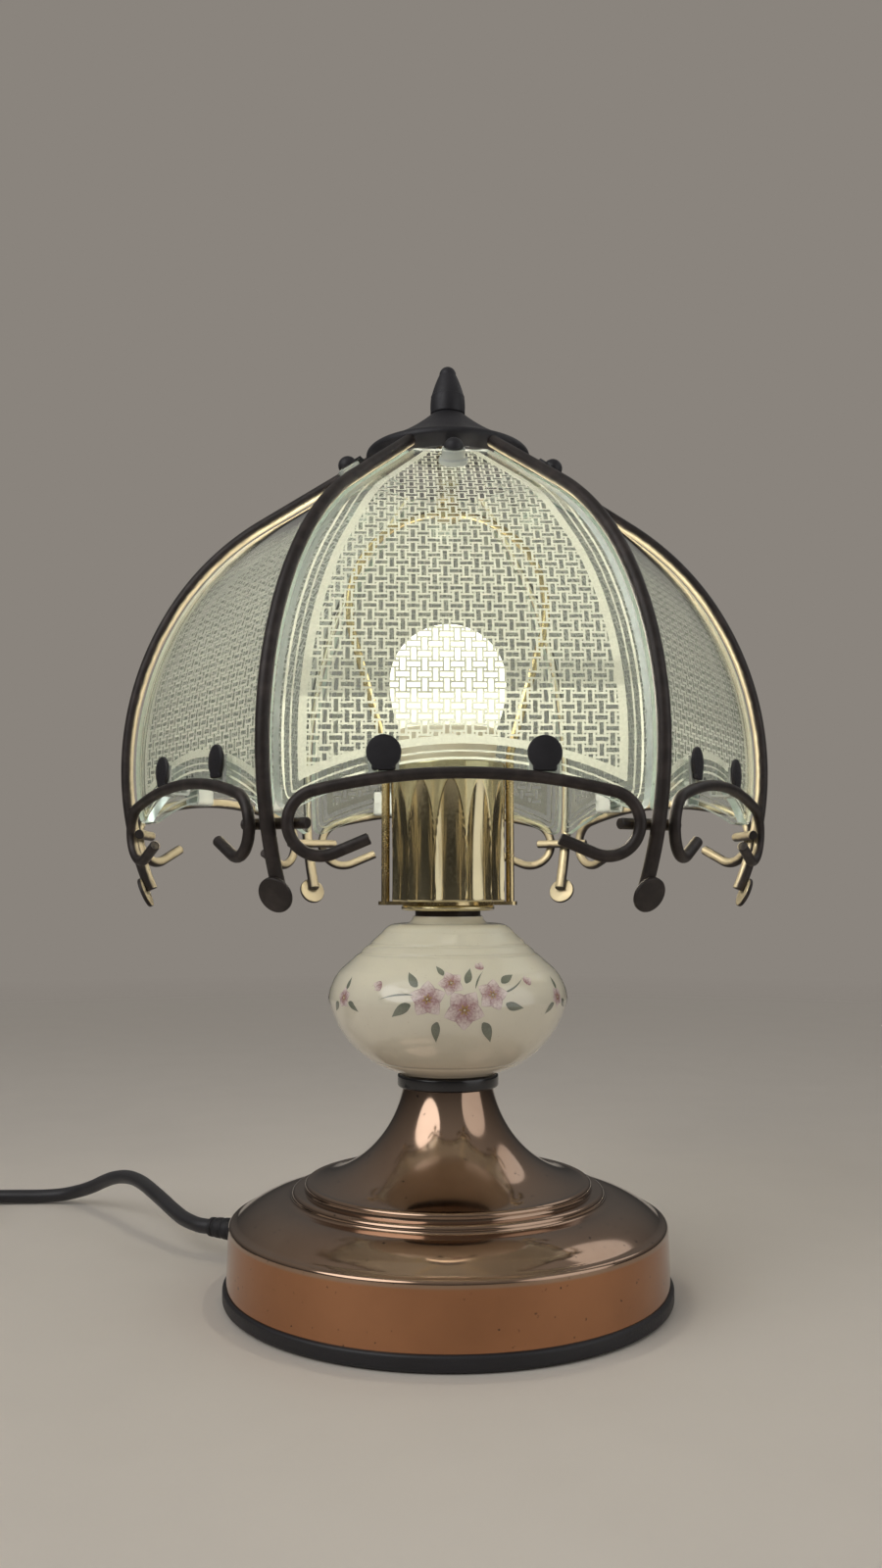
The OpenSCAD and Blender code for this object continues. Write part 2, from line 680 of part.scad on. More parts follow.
// Half section of the shell's outside, from the band's foot to the bell's neck
function shell_line() = concat(
    [[base_r, foot_h]],
    arc([base_r - band_draft - edge_bead_r, z_edge], edge_bead_r, 0, 78, 6),
    bow([base_r - band_draft - 1.75 * edge_bead_r, z_shoulder_out + 0.4], [ring_r + 2.4, z_shoulder_in],
        1.6, 8),
    bow([ring_r + 1.1, z_shoulder_in + 0.3], [ring_r, z_shoulder_in + ring_bead_r], -0.35, 3),
    arc([ring_r - ring_bead_r, z_shoulder_in + ring_bead_r], ring_bead_r, 12, 90, 5),
    [[bell_rim_r + 0.3, z_shoulder_in + 2.05 * ring_bead_r]],
    arc([bell_rim_r - 1.3, z_rim - 1.3], 1.3, -15, 90, 6),
    bow([bell_rim_r - 2.2, z_rim - 0.15], [bell_neck_r, z_neck], -bell_sag, 24));

// Spun shell: band, shoulder, bead ring and bell, open below
module base_shell() {
    outside = shell_line();
    inside = inset(outside, shell_t);
    top = len(outside) - 1;
    color("#a9743c") difference() {
        turned(concat(
            outside,
            [[pipe_hole_r, z_neck], [pipe_hole_r, z_neck - shell_t]],
            [[inside[top][0], z_neck - shell_t]],
            [for (i = [top - 1:-1:1]) inside[i]],
            [[base_r - shell_t, foot_h]]));
        translate([0, 0, exit_z]) rotate([0, 90, exit_angle]) cylinder(h = base_r + 5, r = relief_r - 1);
    }
}

// Tapered rubber sleeve that the lead leaves the base through, grooved to hold in the band
module strain_relief() {
    hold_r = relief_r - 1 - seat_gap;
    band_in = base_r - shell_t - 1;
    color("#101012") translate([0, 0, exit_z]) rotate([0, 90, exit_angle]) {
        difference() {
            union() {
                translate([0, 0, band_in - 2.5]) cylinder(h = 2, r = relief_r);
                translate([0, 0, band_in - 1]) cylinder(h = shell_t + 3, r = hold_r);
                translate([0, 0, base_r + seat_gap])
                    cylinder(h = relief_l - seat_gap, r1 = relief_r, r2 = cord_r + 0.7);
            }
            cylinder(h = base_r - 8, r = cord_r);
        }
    }
}

// Threaded pipe that clamps the stem together
module threaded_pipe() {
    z_pipe = z_neck - shell_t - pipe_below;
    color("#9a9ca0") sleeve(z_pipe, pipe_top - z_pipe, pipe_r, pipe_bore_r);
}

// Nuts at both ends of the clamped stack
module pipe_nuts() {
    color("#b5b7bb") {
        nut(z_nut_low);
        nut(z_nut_up);
    }
}

// Washer between the bell's top and the ring terminal
module pipe_washer() {
    color("#b5b7bb") sleeve(z_washer, washer_t, washer_r, pipe_hole_r);
}

// Black ring between the bell and the ceramic body
module seat_ring() {
    color("#17161a") turned(concat(
        [[pipe_hole_r, z_neck]],
        arc([seat_ring_r - 1, z_neck + 1], 1, -90, 0, 5),
        arc([seat_ring_r - 1.4, z_body - 1.4], 1.4, 0, 90, 5),
        [[pipe_hole_r, z_body]]));
}

// Half section of the ceramic body's outside, from foot to collar
function body_line() = let (z = z_body, shoulder_z = z_body_top - body_collar_h)
    concat(
        [[body_foot_r, z]],
        bow([body_foot_r + 2, z + 0.8], [belly_r, z + belly_z], 4.9, 14),
        after_first(bow([belly_r, z + belly_z], [belly_r - 4.8, z + belly_z + 11], 1, 6)),
        bow([body_shoulder_r + 4.6, shoulder_z - 3.2], [body_shoulder_r - 0.6, shoulder_z], 0.7, 5),
        bow([body_collar_r + 2.1, shoulder_z + 0.2], [body_collar_r, z_body_top], -0.5, 4));

// Glazed ceramic body, hollow, with fine turned lines
module ceramic_body() {
    outside = body_line();
    inside = inset(outside, body_wall);
    low = z_body + body_wall;
    high = z_body_top - body_collar_h - body_wall;
    cavity = [for (p = inside) if (p[1] > low && p[1] < high) p];
    upper = outside[len(outside) - 11];
    lower = outside[3];
    color("#e8e0cc") difference() {
        turned(concat(outside, [[pipe_hole_r, z_body_top], [pipe_hole_r, z_body]]));
        turned(concat(cavity, [[pipe_r + 3, high], [pipe_r + 3, low]]));
        for (p = [upper + [-7, 6.3], upper + [-10.6, 9.5], lower])
            translate([0, 0, p[1]]) rotate_extrude() translate([p[0] + 0.3, 0]) circle(r = body_line_r);
    }
}

// Dark spacer on the body's collar
module neck_spacer() {
    color("#2a241f") sleeve(z_body_top, neck_spacer_h, neck_spacer_r, pipe_hole_r);
}

// Gold disc that the cup stands on
module cup_disc() {
    color("#d9b46a") turned(concat(
        [[pipe_hole_r, z_disc], [cup_disc_r - 0.8, z_disc]],
        arc([cup_disc_r - cup_disc_h / 2, z_disc + cup_disc_h / 2], cup_disc_h / 2, -60, 60, 8),
        [[cup_disc_r - 0.8, z_saddle], [pipe_hole_r, z_saddle]]));
}

// Strap under the cup with a hole for each leg of the harp
module harp_saddle() {
    color("#c9a558") difference() {
        translate([0, 0, z_saddle]) linear_extrude(height = saddle_t) {
            square([2 * leg_x, saddle_w], center = true);
            circle(r = saddle_mid_r);
            for (x = [-leg_x, leg_x]) translate([x, 0]) circle(r = saddle_w / 2);
        }
        translate([0, 0, z_saddle - 1]) cylinder(h = saddle_t + 2, r = pipe_hole_r);
        for (x = [-leg_x, leg_x])
            translate([x, 0, z_saddle - 1]) cylinder(h = saddle_t + 2, r = wire_r + seat_gap);
    }
}

// Cutter for one flute: a round bar on a wide bow, which leaves the wall in a pointed arch
module flute_cutter() {
    bow_r = (pow(flute_run, 2) + pow(flute_depth, 2)) / (2 * flute_depth);
    reach = 2 * asin(cup_h / bow_r);
    translate([cup_r - flute_depth + flute_r + bow_r, 0, z_cup + flute_low]) rotate([90, 0, 0])
        rotate([0, 0, 180 - reach / 2]) rotate_extrude(angle = reach, $fn = 720) translate([bow_r, 0])
            circle(r = flute_r, $fn = 72);
}

// Cup round the lampholder, with flutes that run out below its rim
module fluted_cup() {
    color("#e0bd74") difference() {
        translate([0, 0, z_cup]) cylinder(h = cup_h, r = cup_r);
        translate([0, 0, z_cup + cup_floor]) cylinder(h = cup_h, r = cup_bore_r);
        translate([0, 0, z_cup - 1]) cylinder(h = cup_floor + 2, r = pipe_hole_r);
        for (k = [0:1:flute_count - 1]) rotate(360 * k / flute_count) flute_cutter();
    }
}

// Lampholder body on the pipe
module lampholder() {
    color("#1d1b1a") difference() {
        translate([0, 0, z_holder]) cylinder(h = z_shell_top - z_holder + 1, r = holder_r);
        translate([0, 0, z_contact]) cylinder(h = 60, r = screw_shell_r + seat_gap);
        translate([0, 0, z_holder - 1]) cylinder(h = 7, r = pipe_hole_r);
    }
}

// Brass sleeve that the bulb screws into, with its floor ring
module screw_shell() {
    color("#c79a4a") {
        sleeve(z_contact + 0.8, z_shell_top - z_contact - 0.8, screw_shell_r, screw_shell_r - screw_shell_t);
        sleeve(z_contact, 0.8, screw_shell_r, 9);
    }
}

// Sprung contact in the middle of the holder
module centre_contact() {
    color("#c79a4a") turned([[0, z_contact], [6.5, z_contact], [6.5, z_contact + 0.8], [3.6, z_contact + 0.8],
        [2.8, z_contact + contact_h], [0, z_contact + contact_h]]);
}

// Wire loop from one end of the saddle over the bulb to the other
module harp() {
    color("#d8b46a") rod(with_mirror(concat(
        [[leg_x, z_saddle]],
        arc([leg_x + harp_bend_r, bend_z], harp_bend_r, 180, 180 - harp_lean, 3),
        arc([0, z_harp_mid], harp_r, -harp_lean, 90, 12))), wire_r, 12);
}

// Stud on the harp's top, clamped round the wire
module harp_stud() {
    color("#c9a558") difference() {
        union() {
            translate([0, 0, z_harp_top - stud_collar_h]) cylinder(h = 2 * stud_collar_h, r = stud_collar_r);
            translate([0, 0, z_harp_top])
                cylinder(h = z_crown_top + finial_drum_h - 1.5 - z_harp_top, r = stud_r);
        }
        bent_bar([0, z_harp_mid], harp_r, wire_r + seat_gap, 60, 120);
    }
}

// Spacer tube that lifts the shade off the harp
module shade_riser() {
    color("#c9a558") sleeve(z_riser, riser_h, riser_r, stud_r + seat_gap);
}

// Turned crown, drilled for the stud and for the ribs' ends
module crown() {
    hub_r = 9;
    hub_z = rim_low[1] + (rim_low[0] - hub_r) * tan(rib_slope);
    color("#1b191b") difference() {
        turned(concat(
            [[stud_r + run_gap, z_hub], [hub_r - 1, z_hub], [hub_r, hub_z]],
            [rim_low],
            arc(rim_top - crown_round * (rib_out + rib_dir), crown_round, -rib_slope, 90 - rib_slope, 6),
            after_first(bow(rim_top - crown_round * rib_dir, [crown_top_r, z_crown_top], -crown_sag, 14)),
            [[stud_r + run_gap, z_crown_top]]));
        rib_places() straight_bar(rim_point - rib_socket * rib_dir, rim_point + 5 * rib_dir, rib_r + run_gap);
    }
}

// The six ribs' places, or the places of the panels between them
module rib_places() {
    for (k = [0:1:panel_count - 1]) rotate(2 * half_turn * k) children();
}
module panel_places() {
    for (k = [0:1:panel_count - 1]) rotate(270 + 2 * half_turn * k) children();
}

// One bent rod of the frame, from its hole in the crown to the disc on its tip
module rib(k) {
    tip_out = polar(-rib_tail_turn);
    disc_at = rib_tip + (rib_r - 0.6) * tip_out;
    color("#2b2420") rotate(270 + half_turn + 2 * half_turn * (k - 1)) {
        rod(concat(
            [rim_point - (rib_socket - seat_gap) * rib_dir],
            arc(upper_mid, rib_upper_r, 90 - rib_slope, rib_lower_turn, 8),
            after_first(arc(lower_mid, rib_lower_r, rib_lower_turn, -rib_tail_turn, 16))),
            rib_r, 12);
        straight_bar(disc_at, disc_at + tip_disc_t * tip_out, tip_disc_r);
    }
}

// One scroll: an arch whose ends loop under and run back in
module scroll(k) {
    past = -90 - loop_past;
    loop = [loop_u, 0];
    tail_from = loop + loop_r * polar(past);
    tail_to = tail_from + loop_tail * [-cos(loop_past), sin(loop_past)];
    color("#2b2420") rotate(270 + 2 * half_turn * (k - 1)) translate([scroll_d, 0, z_pin])
        rotate([0, scroll_lean, 0]) rotate(90) rod(with_mirror(concat(
            [tail_to],
            arc(loop, loop_r, past, 90 - arch_turn, 14),
            after_first(arc([0, arch_h - arch_r], arch_r, 90 - arch_turn, 90, 4)))),
            scroll_r, 10);
}

// Short pins behind the ribs that tie neighbouring scrolls together
module cross_pins() {
    color("#2b2420") rib_places() translate([pin_d, 0, z_pin]) rotate([90, 0, 0])
        cylinder(h = pin_l, r = pin_r, center = true);
}

// Sector that a panel fills between its two ribs
module panel_sector() {
    reach = 200;
    corner = glass_side / sin(half_turn);
    half = (reach - corner) * tan(half_turn);
    linear_extrude(height = 600)
        polygon([[corner, 0], [reach, -half], [reach, half]]);
}

// Outline of a panel's lower part, seen square on: arched below with round corners
module panel_front() {
    half_w = glass_half_w - glass_side / cos(half_turn);
    corner_z = glass_arch_z - glass_arch_r + sqrt(pow(glass_arch_r, 2) - pow(half_w - glass_corner, 2)) + 1;
    difference() {
        translate([-half_w, z_pin]) square([2 * half_w, 400]);
        translate([0, glass_arch_z - glass_arch_r]) circle(r = glass_arch_r, $fn = 180);
        for (x = [-1, 1]) translate([x * (half_w - glass_corner), corner_z + glass_corner]) difference() {
            translate([min(0, x * (glass_corner + 1)), -3 * glass_corner])
                square([glass_corner + 1, 3 * glass_corner]);
            circle(r = glass_corner);
        }
    }
}

// One glass panel, bent about a level line
module glass_panel(k) {
    section = concat(glass_outer, reversed(inset(glass_outer, glass_t)));
    color("#cfe6da", 0.45) rotate(270 + 2 * half_turn * (k - 1)) intersection() {
        rotate([90, 0, 0]) linear_extrude(height = 160, center = true) polygon(section);
        panel_sector();
        rotate([90, 0, 90]) linear_extrude(height = 160) panel_front();
    }
}

// The lower clips' places, with +X out of the panel and +Z up from the scroll
module clip_places() {
    panel_places() for (u = [-clip_u, clip_u]) translate([0, u, 0]) children();
}

// Discs on tabs that stand on the scrolls, in front of the glass
module lower_clips() {
    color("#1f1b1c") clip_places() translate([clip_d, 0, 0]) {
        translate([0, 0, z_clip]) rotate([0, 90, 0]) cylinder(h = clip_t, r = clip_disc_r, center = true);
        translate([-clip_t / 2, -clip_tab_w / 2, z_clip_foot])
            cube([clip_t, clip_tab_w, z_clip - z_clip_foot]);
    }
}

// Clear cushions folded round the glass edge behind the lower clips
module lower_cushions() {
    back_d = glass_wide_d - glass_t - 2 * cushion_t - 2.2;
    low = clip_glass_z - seat_gap - cushion_t - cushion_w / 2 * clip_u / glass_arch_r;
    color("#d7dcd8", 0.5) clip_places() difference() {
        translate([back_d, -cushion_w / 2, low])
            cube([glass_wide_d + seat_gap + cushion_t - back_d, cushion_w, cushion_h + cushion_w / 2]);
        translate([back_d + cushion_t, -cushion_w, low + cushion_t])
            cube([glass_wide_d + seat_gap - back_d - cushion_t, 2 * cushion_w, 40]);
    }
}

// The upper clips' places: on the glass's slope, with +Z out of the glass and +X down the slope
module button_places() {
    panel_places() translate([button_d, 0, button_z]) rotate([0, glass_slope, 0]) children();
}

// Round-headed clips, each on a strap that comes down behind its cushion and runs to the crown's rim
module upper_clips() {
    foot = 2 * seat_gap;
    head = button_head_z;
    behind = button_drum_r + 4 * seat_gap;
    low = button_flange_r + button_strap_run;
    strap = [
        [0, head], [-behind, head], [-low, foot], [-strap_l, foot],
        [-strap_l, foot + button_strap_t], [-low - 0.7 * button_strap_t, foot + button_strap_t],
        [-behind - 0.7 * button_strap_t, head + button_strap_t], [0, head + button_strap_t]];
    color("#1b191b") button_places() {
        translate([0, 0, head]) intersection() {
            sphere(r = button_r);
            translate([-button_r, -button_r, 0]) cube(2 * button_r);
        }
        rotate([90, 0, 0]) linear_extrude(height = button_strap_w, center = true) polygon(strap);
    }
}

// Clear cushions between the buttons and the glass
module upper_cushions() {
    color("#d7dcd8", 0.5) button_places() translate([0, 0, seat_gap]) {
        cylinder(h = button_flange_t, r = button_flange_r);
        cylinder(h = button_cushion_h, r = button_drum_r);
    }
}

// Finial screwed on the stud: a drum with a pointed top
module finial() {
    z = z_crown_top;
    taper = z + finial_drum_h;
    tip = taper + finial_tip_h;
    color("#121115") turned(concat(
        [[stud_r + run_gap, z]],
        arc([finial_r - 0.6, z + 0.6], 0.6, -90, 0, 3),
        arc([finial_r - 0.5, taper - 0.5], 0.5, 0, 60, 3),
        bow([finial_r - 0.4, taper + 0.2], [finial_tip_r, tip - finial_tip_r], 0.2, 6),
        after_first(arc([0, tip - finial_tip_r], finial_tip_r, 0, 90, 8)),
        [[0, taper - 1], [stud_r + run_gap, taper - 1]]));
}

// Half section of the globe's outside, from the collar up
function globe_line() = concat(
    bow([collar_r - 0.4, z_collar_top], [globe_r, z_globe], (globe_r - collar_r) * 0.28, 10),
    after_first(arc([0, z_globe], globe_r, 0, 90, 16)));

// Globe of the bulb
module bulb_globe() {
    outside = globe_line();
    inside = inset(outside, globe_wall);
    last = len(outside) - 1;
    color("#fff6e2") turned(concat(
        outside,
        [[0, z_globe + globe_r - globe_wall]],
        [for (i = [last - 1:-1:1]) inside[i]],
        [[inside[0][0], z_collar_top]]));
}

// Plastic collar between the globe and the cap
module bulb_collar() {
    color("#e9dcc4") turned(concat(
        [[0, z_shell_top - 1], [cap_r, z_shell_top - 1], [cap_r + 0.9, z_shell_top + 1.6]],
        bow([collar_r - 1, z_collar], [collar_r, z_collar_top], 0.4, 6),
        [[0, z_collar_top]]));
}

// Screw cap of the bulb
module bulb_cap() {
    color("#b9babd") turned([[0, z_cap], [cap_r - 2.5, z_cap], [cap_r, z_cap + 2.5], [cap_r, z_shell_top - 1],
        [0, z_shell_top - 1]]);
}

// Insulated tip of the bulb, which meets the centre contact
module bulb_tip() {
    color("#2b2b2e") turned([[0, z_cap_tip], [4.2, z_cap_tip], [cap_r - 3.5, z_cap], [0, z_cap]]);
}

// Lead from the strain relief to the coil
module cord_lead() {
    color("#0f0f12") tube(lead_route, cord_r, 10);
}

// Unseen length of the lead, wound in two layers
module cord_coil() {
    echo(coil_least_gap = closest(coil_route, 12) - cord_d);
    color("#0f0f12") tube(coil_route, cord_r, 6);
}

// Tie round the coil's turns
module cord_tie() {
    room = seat_gap + 0.8;
    in_r = coil_in_r - cord_r - room - tie_t;
    out_r = coil_out_r + cord_r + room + tie_t;
    top = coil_z + coil_layer + cord_r + room + tie_t;
    color("#26262a") translate([coil_mid[0], coil_mid[1] - (in_r + out_r) / 2, top / 2]) rotate([90, 0, 90])
        linear_extrude(height = tie_w, center = true) difference() {
            round_rect(out_r - in_r, top, 2.4);
            round_rect(out_r - in_r - 2 * tie_t, top - 2 * tie_t, 1.2);
        }
}

// Flat plug at the lead's end
module plug_body() {
    color("#0f0f12") translate([plug_x, tail_y, 0]) rotate(180) linear_extrude(height = plug_t)
        polygon([[0, -5], [6, -5.5], [14, 1 - plug_w / 2], [plug_l - 6, -plug_w / 2],
            [plug_l, 2 - plug_w / 2], [plug_l, plug_w / 2 - 2], [plug_l - 6, plug_w / 2],
            [14, plug_w / 2 - 1], [6, 5.5], [0, 5]]);
}

// The plug's two round pins
module plug_pins() {
    color("#c9cacc") for (s = [-1, 1])
        translate([plug_x - plug_l, tail_y + s * plug_pin_gap / 2, plug_z]) rotate([0, -90, 0])
            cylinder(h = plug_pin_l, r = plug_pin_r);
}

foot_ring();
bottom_cover();
cover_screws();
base_weight();
touch_module();
sense_lead();
inner_leads();
base_shell();
strain_relief();
threaded_pipe();
pipe_nuts();
pipe_washer();
seat_ring();
ceramic_body();
neck_spacer();
cup_disc();
harp_saddle();
fluted_cup();
lampholder();
screw_shell();
centre_contact();
harp();
harp_stud();
shade_riser();
crown();
rib(1);  // rib_1
rib(2);  // rib_2
rib(3);  // rib_3
rib(4);  // rib_4
rib(5);  // rib_5
rib(6);  // rib_6
scroll(1);  // scroll_1
scroll(2);  // scroll_2
scroll(3);  // scroll_3
scroll(4);  // scroll_4
scroll(5);  // scroll_5
scroll(6);  // scroll_6
cross_pins();
glass_panel(1);  // glass_panel_1
glass_panel(2);  // glass_panel_2
glass_panel(3);  // glass_panel_3
glass_panel(4);  // glass_panel_4
glass_panel(5);  // glass_panel_5
glass_panel(6);  // glass_panel_6
lower_clips();
lower_cushions();
upper_clips();
upper_cushions();
finial();
bulb_globe();
bulb_collar();
bulb_cap();
bulb_tip();
cord_lead();
cord_coil();
cord_tie();
plug_body();
plug_pins();
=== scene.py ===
"""Touch table lamp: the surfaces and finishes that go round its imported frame."""

import math

import bmesh
import bpy
import numpy as np
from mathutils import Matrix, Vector


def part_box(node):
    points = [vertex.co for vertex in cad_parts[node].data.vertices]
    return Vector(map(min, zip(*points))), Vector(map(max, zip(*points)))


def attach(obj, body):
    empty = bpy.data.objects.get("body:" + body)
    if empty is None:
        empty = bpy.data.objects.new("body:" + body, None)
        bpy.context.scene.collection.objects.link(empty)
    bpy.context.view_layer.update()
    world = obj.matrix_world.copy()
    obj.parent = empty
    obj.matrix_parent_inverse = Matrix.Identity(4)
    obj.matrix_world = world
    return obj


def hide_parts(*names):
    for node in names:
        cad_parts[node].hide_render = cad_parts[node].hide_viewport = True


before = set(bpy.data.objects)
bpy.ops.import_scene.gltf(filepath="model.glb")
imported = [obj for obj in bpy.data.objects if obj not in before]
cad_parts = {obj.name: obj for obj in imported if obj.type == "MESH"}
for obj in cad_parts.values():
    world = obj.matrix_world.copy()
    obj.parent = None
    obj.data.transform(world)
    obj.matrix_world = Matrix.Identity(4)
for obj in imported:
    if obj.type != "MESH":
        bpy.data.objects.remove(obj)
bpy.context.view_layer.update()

bl_info = {
    "name": "Touch table lamp",
    "version": (1, 0, 0),
    "blender": (4, 5, 0),
    "location": "3D View > Sidebar > Lamp",
    "description": "Builds a touch table lamp with a bent glass shade round its packed frame",
    "category": "Object",
}

MM = 0.001


def linear(hex_colour):
    """Linear RGB of an sRGB hex colour, by the sRGB curve."""
    c = np.array([int(hex_colour[i : i + 2], 16) for i in (1, 3, 5)]) / 255
    return tuple(float(x) for x in np.where(c <= 0.04045, c / 12.92, ((c + 0.055) / 1.055) ** 2.4))


def length(name, description, default):
    """A length property, given in millimetres."""
    return bpy.props.FloatProperty(
        name=name, description=description, default=default * MM, min=0, unit="LENGTH", precision=5
    )


def colour(name, description, default):
    """A colour property, given as sRGB hex."""
    return bpy.props.FloatVectorProperty(
        name=name, description=description, default=linear(default), min=0, max=1, size=3, subtype="COLOR"
    )


class LampSizes(bpy.types.PropertyGroup):
    """Sizes of the printed pattern, glass, rods and lead, and the bulb's power."""

    weave_pitch: length("Weave pitch", "Distance from brick to brick of the printed weave", 3.42)
    brick_length: length("Brick length", "Length of a clear brick in the weave", 4.0)
    brick_width: length("Brick width", "Width of a clear brick in the weave", 1.4)
    dot_width: length("Dot width", "Width of the clear dots between the bricks", 0.55)
    line_at: length("Line place", "Distance of the outer pin line from a panel's edge", 2.4)
    line_width: length("Line width", "Width of the outer pin line", 0.8)
    thin_at: length("Thin line place", "Distance of the inner pin line from a panel's edge", 4.8)
    thin_width: length("Thin line width", "Width of the inner pin line", 0.6)
    band_at: length("Band place", "Distance of the printed band from a panel's edge", 7.3)
    band_width: length("Band width", "Width of the solid band round the weave", 2.6)
    glass: length("Glass thickness", "Thickness of the bent panels", 3.0)
    rib_rod: length("Rib rod", "Radius of the ribs' rod", 2.3)
    scroll_rod: length("Scroll rod", "Radius of the scrolls' rod", 1.9)
    harp_wire: length("Harp wire", "Radius of the harp's wire", 1.6)
    cord: length("Lead", "Diameter of the lead", 6.0)
    bulb_light: bpy.props.FloatProperty(
        name="Bulb light", description="Power of the light inside the bulb", default=0.8, min=0, unit="POWER"
    )


class LampColours(bpy.types.PropertyGroup):
    """Colours of the lamp's finishes."""

    brass: colour("Brass", "Bell and shoulder of the base", "#A68C78")
    # painted reflection: a copper tone on the base's band that stands for warm wood mirrored in it; darkened, it
    # also mottles the whole base
    band_reflection_and_mottle: colour("Band reflection and mottle", "Band of the base", "#AC7A58")
    gold: colour("Gold", "Cup and its disc", "#D6C9A2")
    wire: colour("Wire", "Harp, stud and riser", "#E0CB9C")
    # painted shade on the outer side of the shade's rods; lightened, the same colour also gives the base its dark
    # specks
    rod_shade_and_specks: colour("Rod shade and specks", "Outer side of the shade's rods", "#2A2422")
    # brass of the shade's rods, shown only on their painted lit side, the side that faces the bulb
    rod_brass_lit_side: colour("Rod brass lit side", "Inner side of the shade's rods", "#BDB093")
    black: colour("Black", "Crown, finial and clips", "#242327")
    print: colour("Print", "Printed weave", "#F3F3E8")
    glass: colour("Glass", "Glass seen through its faces", "#F3FAF6")
    edge: colour("Glass edge", "Glass seen at its edges", "#D3EADC")
    glaze: colour("Glaze", "Ceramic body", "#EDE6D2")
    petal: colour("Petal", "Rims of the painted blossoms", "#EADBD5")
    blush: colour("Blush", "Hearts of the painted blossoms", "#B0888A")
    leaf: colour("Leaf", "Painted leaves", "#868A7A")
    plastic: colour("Plastic", "Foot ring, seat ring and lead", "#17161A")
    lamp: colour("Lamp light", "Lit globe of the bulb", "#FFF6E4")


# Shapes: a shape is its points in millimetres and its faces

PIPE_HOLE, STUD_HOLE = 5.15, 3.05  # radii of the holes for the pipe and for the harp's stud


def top_of(node):
    """Height of a CAD node's top, in millimetres."""
    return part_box(node)[1].z / MM


def foot_of(node):
    """Height of a CAD node's foot, in millimetres."""
    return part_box(node)[0].z / MM


def polar(a):
    """Points on the unit circle at angles in degrees."""
    a = np.radians(a)
    return np.stack([np.cos(a), np.sin(a)], -1)


def arc(middle, r, a, b, n):
    """Points on a circle round middle from angle a to angle b."""
    return np.asarray(middle, float) + r * polar(np.linspace(a, b, n + 1))


def bow(p, q, s, n):
    """Points on a circular bow from p to q whose middle stands s to the right of the straight line."""
    p, q = np.asarray(p, float), np.asarray(q, float)
    c = np.linalg.norm(q - p)
    along = (q - p) / c
    side = np.array([along[1], -along[0]])
    turn = 2 * math.atan(2 * abs(s) / c)
    r = c / (2 * math.sin(turn))
    a = np.linspace(-turn, turn, n + 1)[:, None]
    return (p + q) / 2 + along * r * np.sin(a) + side * np.sign(s) * r * (np.cos(a) - math.cos(turn))


def line_of(*parts):
    """Points and stretches of points as one line."""
    return np.concatenate([np.atleast_2d(part) for part in parts])


def lengths(line):
    """Length along a line at each of its points."""
    return np.concatenate([[0], np.cumsum(np.linalg.norm(np.diff(line, axis=0), axis=1))])


def sampled(line, n):
    """A line's points at n even steps of its length."""
    s = lengths(line)
    even = np.linspace(0, s[-1], n)
    return np.stack([np.interp(even, s, x) for x in line.T], -1)


def unit(rows):
    """Vectors brought to length 1."""
    return rows / np.linalg.norm(rows, axis=1, keepdims=True)


def round_steps(n):
    """Angles of n even steps round a circle, in radians."""
    return np.linspace(0, 2 * np.pi, n, endpoint=False)


def quads(rows, cols, wrap_rows=False, wrap_cols=False):
    """Faces of a grid of points, closed along its rows or columns where asked."""
    i = np.arange(rows if wrap_rows else rows - 1)[:, None]
    j = np.arange(cols if wrap_cols else cols - 1)
    k, m = (i + 1) % rows, (j + 1) % cols
    return np.stack([i * cols + j, k * cols + j, k * cols + m, i * cols + m], -1).reshape(-1, 4)


def joined(*shapes):
    """Several shapes as one."""
    starts = np.cumsum([0] + [len(s[0]) for s in shapes[:-1]])
    return np.concatenate([s[0] for s in shapes]), np.concatenate([s[1] + k for s, k in zip(shapes, starts)])


def layered(rings, heights, closed=False):
    """Level rings of points at heights, joined in turn."""
    points = [np.insert(ring, 2, z, axis=1) for ring, z in zip(rings, heights)]
    return np.concatenate(points), quads(len(points), len(points[0]), closed, True)


def turned(section, n=128, closed=True):
    """Half section (r, z) carried round the Z axis: (r cos a, r sin a, z)."""
    section = np.asarray(section, float)
    a = round_steps(n)
    r, z = section[:, :1], section[:, 1:]
    points = np.stack([r * np.cos(a), r * np.sin(a), z + 0 * a], -1)
    return points.reshape(-1, 3), quads(len(section), n, closed, True)


def swept(path, r, n=16, side=None, round_off=0.3):
    """Circle carried along a path, its ends rounded off and closed: path + r (side cos a + up sin a)."""
    path = np.asarray(path, float)
    t = unit(np.gradient(path, axis=0))
    side = unit(np.cross([0, 0, 1], t) if side is None else np.broadcast_to(side, t.shape))
    radius = np.full(len(path), 1.0) * r
    first, last = np.zeros(3, int), np.full(3, len(path) - 1)
    order = np.concatenate([first, np.arange(1, len(path) - 1), last])
    path, t, side, radius = path[order], t[order], side[order], radius[order]
    path[2] += round_off * t[2]
    path[-3] -= round_off * t[-3]
    radius[[0, -1]] = 0
    radius[[1, -2]] -= round_off
    a = round_steps(n)[None, :, None]
    up = np.cross(t, side)[:, None]
    points = path[:, None] + radius[:, None, None] * (np.cos(a) * side[:, None] + np.sin(a) * up)
    return points.reshape(-1, 3), quads(len(path), n, False, True)


def upright(points):
    """Points of the XZ plane in space."""
    return np.insert(np.asarray(points, float), 1, 0, axis=1)


def mirrored(half):
    """A line in space from one half of it, which lies in the XZ plane and ends in the middle."""
    return upright(np.concatenate([half, half[-2::-1] * [-1, 1]]))


def spun(shape, degrees):
    """A shape turned about the Z axis."""
    c, s = polar(degrees)
    return shape[0] @ np.array([[c, s, 0], [-s, c, 0], [0, 0, 1]]), shape[1]


def placed(shape, origin, x, y, z):
    """A shape set on three axes at an origin: origin + a x + b y + c z."""
    return np.asarray(origin, float) + shape[0] @ np.array([x, y, z], float), shape[1]


